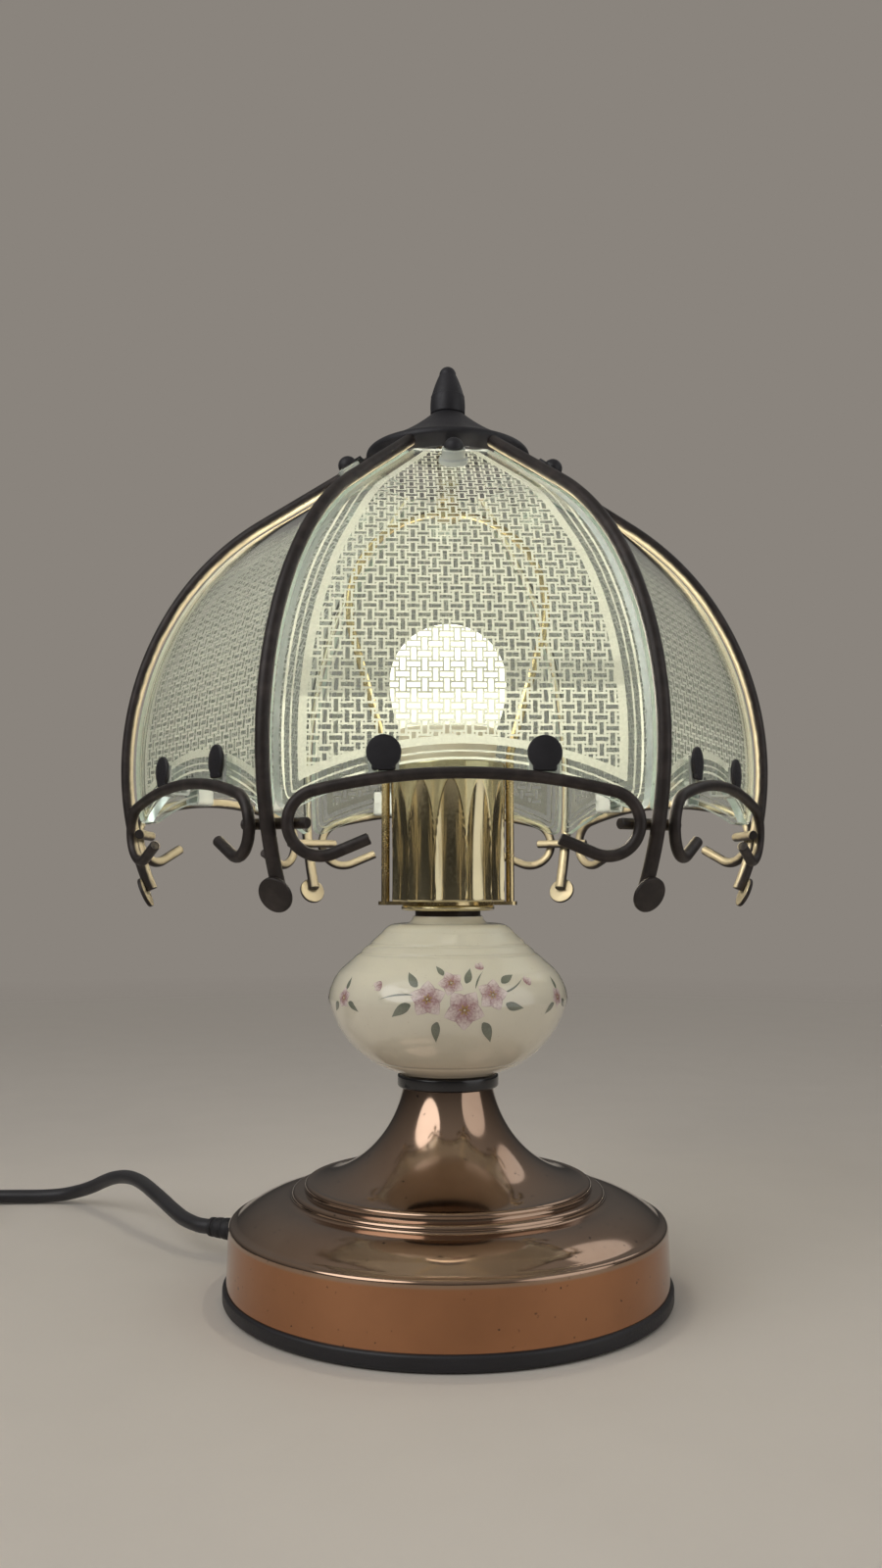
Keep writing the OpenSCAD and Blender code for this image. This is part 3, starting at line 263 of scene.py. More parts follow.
def coin(r, t, edge, dome=0.0):
    """A round plate from z 0 to t with rounded edges and a domed top."""
    section = line_of(
        [0, 0],
        arc([r - edge, edge], edge, -90, 0, 5),
        arc([r - edge, t - edge], edge, 0, 90, 5),
        bow([r - edge, t], [0, t + dome], dome * 0.25 + 1e-4, 6)[1:],
    )
    return turned(section, 48, False)


def slab(w, h, t, edge):
    """Plate of width w, height h and thickness t with rounded edges: a superellipse outline in layers."""
    power, a = 0.25, round_steps(48)
    c, s = np.cos(a), np.sin(a)
    out = np.stack([np.sign(c) * np.abs(c) ** power, np.sign(s) * np.abs(s) ** power], -1)
    half = np.array([w, h]) / 2
    sizes = (0 * half, half - edge, half, half, half - edge, 0 * half)
    return layered([out * size for size in sizes], (0, 0, edge, t - edge, t, t))


def washer(node, foot, top, n):
    """A ring round the pipe as high as a node. Foot and top are each edge's middle, rounding and steps."""
    low, high = foot_of(node), top_of(node)
    below = arc([foot[0], low + foot[1]], foot[1], -90, 0, foot[2])
    above = arc([top[0], high - top[1]], top[1], 0, 90, top[2])
    return turned(line_of([PIPE_HOLE, low], below, above, [PIPE_HOLE, high]), n)


def strip(outer, inner, half, ease=0.2):
    """A bent strip between two lines of the XZ plane, carried along Y from -half to half with eased ends."""
    step = ease * unit(inner - outer)
    rings = [np.concatenate([outer + e * step, (inner - e * step)[::-1]]) for e in (1, 0, 0, 1)]
    places = (-half, ease - half, half - ease, half)
    points = [np.insert(ring, 1, y, axis=1) for ring, y in zip(rings, places)]
    n = len(rings[0])
    k = np.arange(n // 2 - 1)
    cap = np.stack([k, k + 1, n - 2 - k, n - 1 - k], -1)
    return np.concatenate(points), np.concatenate([quads(4, n, False, True), cap, cap[:, ::-1] + 3 * n])


def smooth_path(points, step):
    """A curve through points, and its length: Catmull-Rom pieces, sampled at an even step."""
    p = np.asarray(points, float)
    p = np.concatenate([[2 * p[0] - p[1]], p, [2 * p[-1] - p[-2]]])
    t = np.linspace(0, 1, 40, endpoint=False)[None, :, None]
    a, b, c, d = (p[k : len(p) - 3 + k, None] for k in range(4))
    line = 0.5 * (2 * b + (c - a) * t + (2 * a - 5 * b + 4 * c - d) * t**2 + (3 * b - a - 3 * c + d) * t**3)
    line = np.concatenate([line.reshape(-1, 3), p[-2:-1]])
    total = lengths(line)[-1]
    return sampled(line, max(2, int(round(total / step)) + 1)), total


def make(name, shape, body, nodes, finish, face_finish=None, values=None, sharp=40, solid=True):
    """A mesh piece from a shape: merged seams, outward faces, smooth with sharp edges kept.

    finish names one finish or several; face_finish then says which of them each face has.
    """
    mesh = bpy.data.meshes.new(name)
    mesh.from_pydata((np.asarray(shape[0]) * MM).tolist(), [], np.asarray(shape[1]).tolist())
    for key in finish.split():
        mesh.materials.append(finishes()[key])
    if face_finish is not None:
        mesh.polygons.foreach_set("material_index", np.asarray(face_finish, np.int32))
    for key, value in (values or {}).items():
        mesh.attributes.new(key, "FLOAT", "POINT").data.foreach_set("value", np.asarray(value, np.float32).ravel())
    work = bmesh.new()
    work.from_mesh(mesh)
    bmesh.ops.remove_doubles(work, verts=work.verts, dist=1e-6)
    if solid:
        bmesh.ops.recalc_face_normals(work, faces=work.faces)
    work.to_mesh(mesh)
    work.free()
    mesh.polygons.foreach_set("use_smooth", np.ones(len(mesh.polygons), bool))
    mesh.set_sharp_from_angle(angle=math.radians(sharp))
    piece = bpy.data.objects.new(name, mesh)
    bpy.context.scene.collection.objects.link(piece)
    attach(piece, body)
    if nodes:
        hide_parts(*nodes)
    return piece


# Finishes


def add(tree, kind, links=None, **settings):
    """Adds a node with its settings, and sets or links its inputs."""
    node = tree.nodes.new(kind)
    for key, value in settings.items():
        setattr(node, key, value)
    for key, value in (links or {}).items():
        if isinstance(value, bpy.types.NodeSocket):
            tree.links.new(value, node.inputs[key])
        else:
            node.inputs[key].default_value = value
    return node


def blank(name):
    """A material with an empty node tree, that tree, and the socket of its objects' coordinates."""
    material = bpy.data.materials.new(name)
    material.use_nodes = True
    tree = material.node_tree
    tree.nodes.clear()
    return material, tree, add(tree, "ShaderNodeTexCoord").outputs["Object"]


def closed(material, shader):
    """The material with a shader's socket on its output."""
    add(material.node_tree, "ShaderNodeOutputMaterial", {0: shader})
    return material


def principled(material, inputs):
    """The material with one principled shader of these inputs."""
    return closed(material, add(material.node_tree, "ShaderNodeBsdfPrincipled", inputs).outputs[0])


def rgba(c):
    """A colour with full opacity."""
    return (*c[:3], 1.0)


def shade_of(c, k):
    """A colour made darker or lighter by a factor."""
    return tuple(min(1.0, x * k) for x in c[:3])


def mixed(tree, fac, a, b):
    """Socket of the colour between a and b, which are colours or sockets."""
    a, b = (x if isinstance(x, bpy.types.NodeSocket) else rgba(x) for x in (a, b))
    return add(tree, "ShaderNodeMix", {0: fac, 6: a, 7: b}, data_type="RGBA").outputs[2]


def ranged(tree, value, a, b, low=0.0, high=1.0):
    """Socket of a value moved from the range low to high into the range a to b."""
    return add(tree, "ShaderNodeMapRange", {0: value, 1: low, 2: high, 3: a, 4: b}).outputs[0]


def number(tree, operation, *values):
    """Socket of a calculation with numbers; operation names its kind."""
    return add(tree, "ShaderNodeMath", dict(enumerate(values)), operation=operation).outputs[0]


def vector(tree, operation, *values):
    """Sockets of a calculation with vectors; operation names its kind."""
    return add(tree, "ShaderNodeVectorMath", dict(enumerate(values)), operation=operation).outputs


def noise(tree, place, size, detail):
    """Socket of a noise with lumps of a size in millimetres."""
    return add(tree, "ShaderNodeTexNoise", {"Vector": place, "Scale": 1 / (size * MM), "Detail": detail}).outputs[0]


def bumped(tree, height, depth, strength):
    """Socket of a normal with relief of a depth in millimetres."""
    return add(tree, "ShaderNodeBump", {"Height": height, "Distance": depth * MM, "Strength": strength}).outputs[0]


def value_of(tree, key):
    """Socket of a piece's own attribute."""
    return add(tree, "ShaderNodeAttribute", attribute_name=key).outputs["Fac"]


def worked(name, base, other, rough, metallic, grain, relief, patch, coat=0.0, sheen=0.0):
    """A plain finish: tone and roughness vary in patches, and a fine grain gives relief. Sizes in millimetres."""
    material, tree, place = blank(name)
    wide, fine = noise(tree, place, patch, 3), noise(tree, place, grain, 4)
    inputs = {
        "Base Color": mixed(tree, ranged(tree, wide, 0, 1, 0.35, 0.65), base, other),
        "Roughness": ranged(tree, number(tree, "MULTIPLY", wide, fine), *rough, 0.12, 0.4),
        "Metallic": metallic,
        "Coat Weight": coat,
        "Coat Roughness": 0.08,
        "Sheen Weight": sheen,
        "Normal": bumped(tree, fine, relief, 0.6),
    }
    return principled(material, inputs)


def spun_brass(c):
    """Spun, polished and lacquered brass: mirror-like with fine turning lines; its band is painted a copper tone, a
    painted reflection of warm wood.
    """
    material, tree, place = blank("spun_lacquered_brass")
    height = add(tree, "ShaderNodeSeparateXYZ", {0: place}).outputs[2]
    out = vector(tree, "LENGTH", vector(tree, "MULTIPLY", place, (1, 1, 0))[0])["Value"]
    ring = add(tree, "ShaderNodeCombineXYZ", {0: out, 1: height}).outputs[0]
    # turning lines about 0.5 mm apart, drawn at 0.9 mm so that they show
    lines, cloud, specks = noise(tree, ring, 0.9, 2), noise(tree, place, 26, 4), noise(tree, place, 2.2, 5)
    band = ranged(tree, height, 1, 0, 24.8 * MM, 25.6 * MM)
    # painted reflection: below the edge bead the band takes the copper tone of mirrored warm wood
    tone = mixed(tree, band, c.brass, c.band_reflection_and_mottle)
    tone = mixed(tree, ranged(tree, cloud, 0, 0.3, 0.4, 0.75), tone, shade_of(c.band_reflection_and_mottle, 0.5))
    tone = mixed(tree, ranged(tree, specks, 0, 1, 0.68, 0.74), tone, shade_of(c.rod_shade_and_specks, 1.5))
    inputs = {
        "Base Color": tone,
        "Metallic": 1.0,
        "Roughness": ranged(tree, cloud, 0.07, 0.17, 0.3, 0.7),
        "Normal": bumped(tree, lines, 0.01, 0.12),
        "Coat Weight": 0.25,
        "Coat Roughness": 0.06,
    }
    return principled(material, inputs)


def rod_with_painted_shade(c):
    """Bent brass rod with painted light: painted shade darkens its outer side, and the side that faces the bulb
    shows its brass as a painted lit side.
    """
    material, tree, place = blank("antique_brass_rod")
    bulb = (0, 0, (foot_of("bulb_globe") + top_of("bulb_globe")) / 2 * MM)
    out = vector(tree, "NORMALIZE", vector(tree, "SUBTRACT", place, bulb)[0])[0]
    normal = add(tree, "ShaderNodeTexCoord").outputs["Normal"]
    facing = vector(tree, "DOT_PRODUCT", out, normal)["Value"]
    mottle, grit = noise(tree, place, 5, 5), noise(tree, place, 0.7, 3)
    edge = number(tree, "ADD", facing, ranged(tree, mottle, -0.1, 0.1, 0.3, 0.7))
    # painted lit side: brass where the rod faces the bulb, painted shade elsewhere; noise makes the edge between
    # them uneven
    lit_side = ranged(tree, edge, 1, 0, -0.78, -0.4)
    # the painted shade's dark tone varies in random patches
    shaded_side = mixed(tree, ranged(tree, mottle, 0, 1, 0.45, 0.75), c.rod_shade_and_specks, shade_of(c.rod_shade_and_specks, 2.2))
    inputs = {
        "Base Color": mixed(tree, lit_side, shaded_side, c.rod_brass_lit_side),
        "Metallic": ranged(tree, lit_side, 0.3, 0.4),
        "Roughness": ranged(tree, lit_side, 0.5, 0.38),
        "Normal": bumped(tree, grit, 0.05, 0.5),
    }
    return principled(material, inputs)


def bent_glass(c):
    """Bent float glass: clear, with a faint green cast and slight waviness from the mould."""
    material, tree, place = blank("bent_float_glass")
    inputs = {
        "Base Color": rgba(c.glass),
        "Roughness": 0.0,
        "IOR": 1.5,
        "Transmission Weight": 1.0,
        "Normal": bumped(tree, noise(tree, place, 30, 1), 0.25, 0.15),
    }
    return principled(material, inputs)


def glass_edge(c):
    """Seamed glass edge: light gathers in it, so it shows pale green and satin."""
    material, tree, place = blank("seamed_glass_edge")
    chips = noise(tree, place, 1.5, 4)
    inputs = {
        "Base Color": mixed(tree, ranged(tree, chips, 0, 1, 0.35, 0.7), c.edge, shade_of(c.edge, 1.25)),
        "Roughness": ranged(tree, chips, 0.22, 0.4),
        "IOR": 1.5,
        "Transmission Weight": 0.85,
        "Normal": bumped(tree, chips, 0.08, 0.5),
    }
    return principled(material, inputs)


def printed_weave(c, z):
    """White enamel screen-printed on the glass: a basket weave of clear bricks, a band and two pin lines.

    Cells of one pitch hold level and upright bricks in turn. With d and e the distances from the cell's
    middle across and along its brick, glass is clear where |d| < width / 2, or where a neighbour's brick
    reaches in: |e| < width / 2 and |d| > pitch - length / 2. Small clear dots sit on the cells' corners.
    """
    material, tree, place = blank("screen_printed_enamel")

    def num(operation, *values):
        """Socket of a calculation with numbers."""
        return number(tree, operation, *values)

    across, along, margin = (value_of(tree, key) for key in ("across", "along", "margin"))
    u, v = (num("DIVIDE", x, z.weave_pitch / MM) for x in (across, along))
    cell = num("ADD", num("FLOOR", u), num("FLOOR", v))
    turn = num("MODULO", num("ABSOLUTE", cell), 2.0)
    du, dv = (num("ABSOLUTE", num("SUBTRACT", num("FRACT", x), 0.5)) for x in (u, v))
    first, second = (add(tree, "ShaderNodeMix", {0: turn, 2: a, 3: b}).outputs[0] for a, b in ((dv, du), (du, dv)))
    half, reach = z.brick_width / z.weave_pitch / 2, 1 - z.brick_length / z.weave_pitch / 2
    near = num("MULTIPLY", num("LESS_THAN", second, half), num("GREATER_THAN", first, reach))
    dot = num("GREATER_THAN", num("MINIMUM", first, second), 0.5 - z.dot_width / z.weave_pitch / 2)
    clear = num("MAXIMUM", num("MAXIMUM", num("LESS_THAN", first, half), near), dot)
    inside = num("GREATER_THAN", margin, (z.band_at + z.band_width) / MM)
    weave = num("MULTIPLY", num("SUBTRACT", 1.0, clear), inside)
    line, thin, band = (
        num("COMPARE", margin, (at + width / 2) / MM, width / 2 / MM)
        for at, width in ((z.line_at, z.line_width), (z.thin_at, z.thin_width), (z.band_at, z.band_width))
    )
    ink = num("MAXIMUM", num("MAXIMUM", num("MAXIMUM", line, thin), band), weave)
    grain = noise(tree, place, 0.8, 3)
    tone = mixed(tree, ranged(tree, grain, 0, 1, 0.35, 0.7), c.print, shade_of(c.print, 0.86))
    # the ink holds back some of the light that comes through it; the outer pin line is thinner and lets it pass
    dim = mixed(tree, num("SUBTRACT", 0.34, num("MULTIPLY", line, 0.3)), tone, (0, 0, 0))
    front = add(tree, "ShaderNodeBsdfDiffuse", {"Color": tone}).outputs[0]
    through = add(tree, "ShaderNodeBsdfTranslucent", {"Color": dim}).outputs[0]
    enamel = add(tree, "ShaderNodeMixShader", {0: 0.97, 1: front, 2: through}).outputs[0]
    open_glass = add(tree, "ShaderNodeBsdfTransparent").outputs[0]
    return closed(material, add(tree, "ShaderNodeMixShader", {0: ink, 1: open_glass, 2: enamel}).outputs[0])


def clear_vinyl():
    """Moulded clear vinyl: soft gloss, slightly milky."""
    material, tree, place = blank("moulded_clear_vinyl")
    inputs = {
        "Base Color": rgba(linear("#E6EBE6")),
        "Roughness": ranged(tree, noise(tree, place, 3, 3), 0.12, 0.3),
        "IOR": 1.53,
        "Transmission Weight": 0.6,
    }
    return principled(material, inputs)


def lit_opal(c):
    """Opal glass globe, lit from inside: even, and dimmer over the lowest 16 mm, near its collar."""
    material, tree, place = blank("lit_opal_glass")
    height = add(tree, "ShaderNodeSeparateXYZ", {0: place}).outputs[2]
    low = foot_of("bulb_globe") * MM
    inputs = {
        "Base Color": rgba(linear("#F5F2EA")),
        "Roughness": 0.25,
        "Emission Color": rgba(c.lamp),
        "Emission Strength": ranged(tree, height, 0.8, 2.2, low, low + 16 * MM),
    }
    return principled(material, inputs)


GLAZE_GLOSS = {"IOR": 1.52, "Coat Weight": 0.6, "Coat Roughness": 0.04}


def glazed(c):
    """Glazed earthenware: ivory, glossy, with faint speckle and the slight waviness of a thick glaze."""
    material, tree, place = blank("glazed_earthenware")
    cloud, speck = noise(tree, place, 22, 4), noise(tree, place, 0.9, 2)
    tone = mixed(tree, ranged(tree, cloud, 0, 1, 0.3, 0.7), c.glaze, shade_of(c.glaze, 0.93))
    inputs = {
        "Base Color": mixed(tree, ranged(tree, speck, 0, 0.35, 0.68, 0.76), tone, linear("#B9A988")),
        "Roughness": ranged(tree, cloud, 0.1, 0.2, 0.3, 0.7),
        "Normal": bumped(tree, cloud, 0.3, 0.12),
    }
    return principled(material, inputs | GLAZE_GLOSS)


def painted_print(name, heart, rim):
    """Underglaze print: colour runs from a petal's heart to its rim, with a stippled edge."""
    material, tree, place = blank(name)
    run, edge = value_of(tree, "run"), value_of(tree, "edge")
    fade = number(tree, "ADD", run, ranged(tree, noise(tree, place, 0.7, 3), -0.25, 0.25, 0.3, 0.7))
    tone = mixed(tree, ranged(tree, fade, 0, 1, 0.1, 0.8), heart, rim)
    tone = mixed(tree, ranged(tree, edge, 0, 0.55, 0.72, 1.0), tone, shade_of(heart, 0.8))
    return principled(material, {"Base Color": tone, "Roughness": 0.14} | GLAZE_GLOSS)


# Plain finishes: material, tones (two, or a named colour and a factor for its other tone), least and most roughness,
# metallic, then grain, relief and patch in millimetres, coat and sheen
PLAIN = {
    "gold": ("polished_gold_plate", ("gold", 0.9), (0.1, 0.2), 1.0, 1.2, 0.001, 20, 0.3),
    "wire": ("lacquered_brass_wire", ("wire", 0.82), (0.16, 0.3), 1.0, 0.8, 0.01, 9),
    "black": ("blackened_turned_brass", ("black", 1.5), (0.45, 0.62), 0.25, 0.9, 0.03, 12),
    "foot": ("moulded_black_abs", ("plastic", 1.5), (0.42, 0.6), 0.0, 0.6, 0.03, 25),
    "gloss": ("polished_black_abs", ("plastic", 1.3), (0.16, 0.3), 0.0, 0.8, 0.01, 20, 0.3),
    "lead": ("extruded_black_pvc", ("plastic", 1.6), (0.38, 0.55), 0.0, 0.5, 0.03, 30, 0.0, 0.1),
    "rubber": ("moulded_black_rubber", ("plastic", 1.5), (0.5, 0.7), 0.0, 0.5, 0.04, 14),
    "neck": ("browned_steel", ("#3B322B", "#241F1C"), (0.3, 0.5), 0.7, 0.8, 0.02, 10),
    "collar": ("moulded_polycarbonate", ("#EFE4CE", "#E4D6BC"), (0.25, 0.4), 0.0, 0.7, 0.01, 16),
    "cap": ("rolled_aluminium", ("#C9C9CC", "#B4B4B8"), (0.25, 0.4), 1.0, 0.8, 0.02, 8),
    "steel": ("zinc_plated_steel", ("#B9BCC2", "#A0A3AA"), (0.25, 0.42), 1.0, 0.7, 0.01, 8),
    "iron": ("cast_iron", ("#4A4A4D", "#35353A"), (0.55, 0.75), 0.8, 1.6, 0.2, 14),
    "cover": ("painted_steel_sheet", ("#2B2B2E", "#232326"), (0.4, 0.55), 0.2, 0.7, 0.03, 18),
    "moulded": ("moulded_phenolic", ("#221D1B", "#2E2724"), (0.3, 0.45), 0.0, 0.9, 0.02, 12),
    "contact": ("stamped_brass", ("#C9A45A", "#B08C47"), (0.25, 0.4), 1.0, 0.8, 0.01, 8),
    "nickel": ("nickel_plated_brass", ("#CFCDC6", "#BAB8B0"), (0.12, 0.25), 1.0, 0.8, 0.005, 8),
    "tie": ("moulded_black_nylon", ("plastic", 1.7), (0.4, 0.55), 0.0, 0.5, 0.02, 10),
}
FINISH = {}


def finishes():
    """All the lamp's materials, made once and kept by a short name."""
    if FINISH:
        return FINISH
    c, z = bpy.context.scene.lamp_colours, bpy.context.scene.lamp_sizes
    FINISH.update(
        brass=spun_brass(c),
        rod=rod_with_painted_shade(c),
        glass=bent_glass(c),
        edge=glass_edge(c),
        weave=printed_weave(c, z),
        vinyl=clear_vinyl(),
        globe=lit_opal(c),
        glaze=glazed(c),
        petals=painted_print("underglaze_blossom", c.blush, c.petal),
        leaves=painted_print("underglaze_leaf", shade_of(c.leaf, 0.75), c.leaf),
        hearts=painted_print("underglaze_heart", linear("#8E6A4A"), linear("#C7A56A")),
    )
    for key, (name, (base, other), *values) in PLAIN.items():
        if base.startswith("#"):
            tones = linear(base), linear(other)
        else:
            tones = getattr(c, base), shade_of(getattr(c, base), other)
        FINISH[key] = worked(name, *tones, *values)
    return FINISH


def refinish(solid, key):
    """Gives one of the frame's own solids a finish."""
    solid.data.materials.clear()
    solid.data.materials.append(finishes()[key])


# Lines of the shade, worked out downwards from the crown as the frame's own are
# Lengths in millimetres, turns in degrees

PANELS = 6
HALF = 30.0  # degrees from a panel's middle to its rib
COS_HALF = math.cos(math.radians(HALF))
CROWN_RIM, CROWN_TOP_R, CROWN_WALL, RIB_STRAIGHT = 31.0, 6.5, 1.2, 48.5
UPPER_R, UPPER_TURN, LOWER_R, LOWER_TURN, TAIL_TURN = 103.7, 27.0, 115.7, 31.0, 24.0
SLOPE = 90 - UPPER_TURN - LOWER_TURN
TAN_SLOPE = math.tan(math.radians(SLOPE))
RIB_DIR, RIB_OUT = np.array([1, -1]) * polar(SLOPE), polar(90 - SLOPE)
RIB_R, PIN_R, SCROLL_R, PIN_DROP, FIT = 2.3, 1.8, 1.9, 26.4, 0.15
RIM_HALF = RIB_R + CROWN_WALL
LOOP_R, LOOP_U, ARCH_H, LOOP_PAST, LOOP_TAIL, SCROLL_LEAN = 10.0, 43.5, 15.3, 23.0, 11.7, 3.0
GLASS_IN, GLASS_LOW, GLASS_SHORT, GLASS_SIDE = 2.7, -13.0, -1.5, 1.4
GLASS_ARCH, GLASS_ARCH_U, GLASS_OVER, GLASS_CORNER = 15.4, 57.0, 2.1, 6.0
PRINT_CORNER, PRINT_FOOT, PRINT_DRAW, DRAW_FROM, DRAW_OVER = 4.0, 188.0, 4, 82, 30
EDGE_GUESS, CROWDING = 185.0, 1.35  # first height of the lower edge, and how the columns crowd at the sides


def shade_lines():
    """Rim point, end of the straight and the arcs' middles: a slope, a tighter arc, then a wider one."""
    top = top_of("crown")
    drop = (CROWN_RIM + RIM_HALF * RIB_OUT[0] - CROWN_TOP_R) * TAN_SLOPE + RIM_HALF * RIB_OUT[1]
    rim = np.array([CROWN_RIM, top - drop])
    end = rim + RIB_STRAIGHT * RIB_DIR
    upper = end - UPPER_R * RIB_OUT
    lower = upper + (UPPER_R - LOWER_R) * polar(LOWER_TURN)
    return rim, end, upper, lower


def rib_line(inwards=0.0, low=-TAIL_TURN, reach=4.85):
    """A rib's middle line from its low end to its hole in the crown, moved inwards by a distance."""
    rim, end, upper, lower = shade_lines()
    return line_of(
        arc(lower, LOWER_R - inwards, low, LOWER_TURN, 60)[:-1],
        arc(upper, UPPER_R - inwards, LOWER_TURN, 90 - SLOPE, 30)[:-1],
        np.linspace(end, rim - reach * RIB_DIR, 24) - inwards * RIB_OUT,
    )


class GlassProfile:
    """The bent line of a panel's outer face, seen in its middle section, by length along the face."""

    def __init__(self):
        """Takes the ribs' line, moved in to the glass and seen from a panel's middle."""
        line = rib_line(GLASS_IN, GLASS_LOW, GLASS_SHORT)
        line[:, 0] *= COS_HALF
        self.line, self.s = line, lengths(line)
        d = np.gradient(line, self.s, axis=0)
        self.normal = unit(np.stack([d[:, 1], -d[:, 0]], -1))

    def at(self, s, inwards=0.0):
        """Distance from the axis and height at length s, moved inwards along the normal."""
        out, up, a, b = (np.interp(s, self.s, x) for x in (*self.line.T, *self.normal.T))
        return out - inwards * a, up - inwards * b

    def where(self, height):
        """Length along the face at a height."""
        return np.interp(height, self.line[:, 1], self.s)


def half_width(d):
    """Half the width of a panel at distance d: its sides run beside the ribs' planes."""
    return (d - GLASS_SIDE / math.sin(math.radians(HALF))) * math.tan(math.radians(HALF))


def scroll_numbers():
    """Height of the cross pins, their distance and the scrolls', and a scroll's arch: radius and half angle."""
    lower = shade_lines()[3]
    turn = math.asin(PIN_DROP / LOWER_R)
    pin = lower[0] + LOWER_R * math.cos(turn) - RIB_R - PIN_R - FIT
    c, s = polar(HALF)
    reach = (pin * s - LOOP_U - LOOP_R) / c
    distance = pin * c + reach * s + (PIN_R + SCROLL_R + FIT) / c
    arch = (LOOP_U**2 + ARCH_H**2 - LOOP_R**2) / (2 * (ARCH_H - LOOP_R))
    return lower[1] - PIN_DROP, pin, distance, arch, math.degrees(math.asin(LOOP_U / (arch - LOOP_R)))


def lower_edge(u, half):
    """Height of a panel's lower edge: an arch with rounded corners."""
    r = (GLASS_ARCH_U**2 + GLASS_ARCH**2) / (2 * GLASS_ARCH)
    edge = scroll_numbers()[0] + ARCH_H + GLASS_OVER - r + np.sqrt(r**2 - u**2)
    past = np.clip(np.abs(u) - (half - GLASS_CORNER), 0, GLASS_CORNER)
    # a hair less than the whole corner, so that its end isn't upright
    return edge + GLASS_CORNER - np.sqrt(GLASS_CORNER**2 - past**2 * 0.999)


def panel_grid(inwards, columns=89, rows=109, trim=0.0):
    """A panel's face at a depth: u = s w(d), with s from side to side and t from the lower edge to the top.

    Returns points with +X out of the panel, and at each point the lengths across and along the face and the
    margin: the least distance from the panel's sides and lower edge, rounded where they meet. Towards the
    crown the printed lines draw closer to the sides, by up to 4 mm.
    """
    profile = GlassProfile()
    s = np.linspace(-1, 1, columns)
    s = np.sign(s) * (1 - (1 - np.abs(s)) ** CROWDING)
    low = np.full(columns, profile.where(EDGE_GUESS))
    # the lower edge's height depends on the width there, and settles in a few rounds
    for _ in range(4):
        half = half_width(profile.at(low)[0])
        low = profile.where(lower_edge(s * half, half))
    t = np.linspace(0, 1, rows)[:, None]
    top = profile.s[-1] - trim
    along = low + trim + (top - low - trim) * t
    d, z = profile.at(along, inwards)
    u = s * (half_width(d) - trim)
    out = profile.at(along)[0]
    outer_half = half_width(out)
    slant = np.gradient(outer_half, axis=0) / np.gradient(along, axis=0)
    side = (outer_half - np.abs(u)) / np.sqrt(1 + slant**2)
    rise = np.gradient(low) / np.gradient(s * half_width(profile.at(low)[0]))
    below = (along - low) / np.sqrt(1 + rise**2)
    near_crown = np.clip((DRAW_FROM - out) / DRAW_OVER, 0, 1)
    side = side + PRINT_DRAW * near_crown**2 * (3 - 2 * near_crown)
    r = PRINT_CORNER
    near = np.hypot(np.clip(r - side, 0, None), np.clip(r - below, 0, None))
    margin = np.where((side < r) & (below < r), r - near, np.minimum(side, below))
    return np.stack([d, u, z], -1), u, along - profile.where(PRINT_FOOT), margin


def panel_turn(k):
    """Direction that panel or scroll k faces, in degrees."""
    return 270 + 2 * HALF * k


# Lead: points of its way over the table, then its relief, coil, plug and the fall between them, in millimetres

LEAD_POINTS = [
    (-107, 58, 12.8), (-113, 66, 14.5), (-119, 75, 16.5), (-125, 84, 18.3), (-131, 94, 19.4), (-137, 103, 19.6),
    (-143, 111, 18.6), (-149, 118, 16.5), (-155, 125, 13.3), (-161, 131, 9.8), (-168, 137, 6.6), (-177, 141, 4),
    (-187, 142, 3.1), (-199, 142, 3.1), (-211, 142, 3.2), (-223, 142, 3.5), (-235, 142, 4),
]  # fmt: skip
EXIT_ANGLE, EXIT_Z, EXIT_R = 153.0, 12.0, 106.2
COIL_X, COIL_Y, COIL_IN, COIL_STEP, COIL_TURNS, COIL_Z, COIL_LAYER = -262.0, 142.0, 24.5, 7.6, 3.25, 4.35, 6.8
PLUG_T, PLUG_L, PLUG_X, PIN_APART = 14.0, 36, COIL_X - 60, 9.3
FALL_FROM, FALL_OVER = 22, 30


def lead_route():
    """The lead's middle line: out of its relief, over the table, two flat spirals and a tail to the plug."""
    out = np.array([*polar(EXIT_ANGLE), 0])
    start = EXIT_R * out + [0, 0, EXIT_Z]
    # the lower layer winds inwards, half a turn climbs, and the upper layer winds outwards
    lower, half_turn = 360 * COIL_TURNS, 180
    a = np.arange(0, 2 * lower + half_turn + 1, 15.0)
    big = COIL_IN + COIL_STEP * COIL_TURNS
    upper_r = COIL_IN + COIL_STEP * np.clip(a - lower - half_turn, 0, None) / 360
    r = np.where(a < lower, big - COIL_STEP * a / 360, upper_r)
    climb = np.clip(a - lower, 0, half_turn)
    z = COIL_Z + COIL_LAYER * (1 - np.cos(np.radians(climb))) / 2
    turns = np.column_stack([[COIL_X, COIL_Y - big] + r[:, None] * polar(90 + a), z])
    x = 9.0 * np.arange(1, 7)
    fall = (1 - np.cos(np.pi * np.clip((x - FALL_FROM) / FALL_OVER, 0, 1))) / 2
    high = COIL_Z + COIL_LAYER
    tail = np.column_stack([COIL_X - x, 0 * x + COIL_Y, high + (PLUG_T / 2 - high) * fall])
    lead_in = [[COIL_X + x, COIL_Y, COIL_Z] for x in (18, 12, 6)]
    return line_of(start, start + 6 * out, LEAD_POINTS, lead_in, turns, tail, [PLUG_X, COIL_Y, PLUG_T / 2])


# Operators

BACKDROP, SKY, BOARD = linear("#8A847D"), linear("#E8E4DE"), (linear("#D8D1C8"), linear("#D2CBC2"))
# the camera's place in metres, its turn and rise in radians, and its lens in millimetres
CAMERA_AT, CAMERA_TURN, CAMERA_RISE, LENS = (-0.02404, -0.49732, 0.15203), 0.0430, 0.0766, 29.72
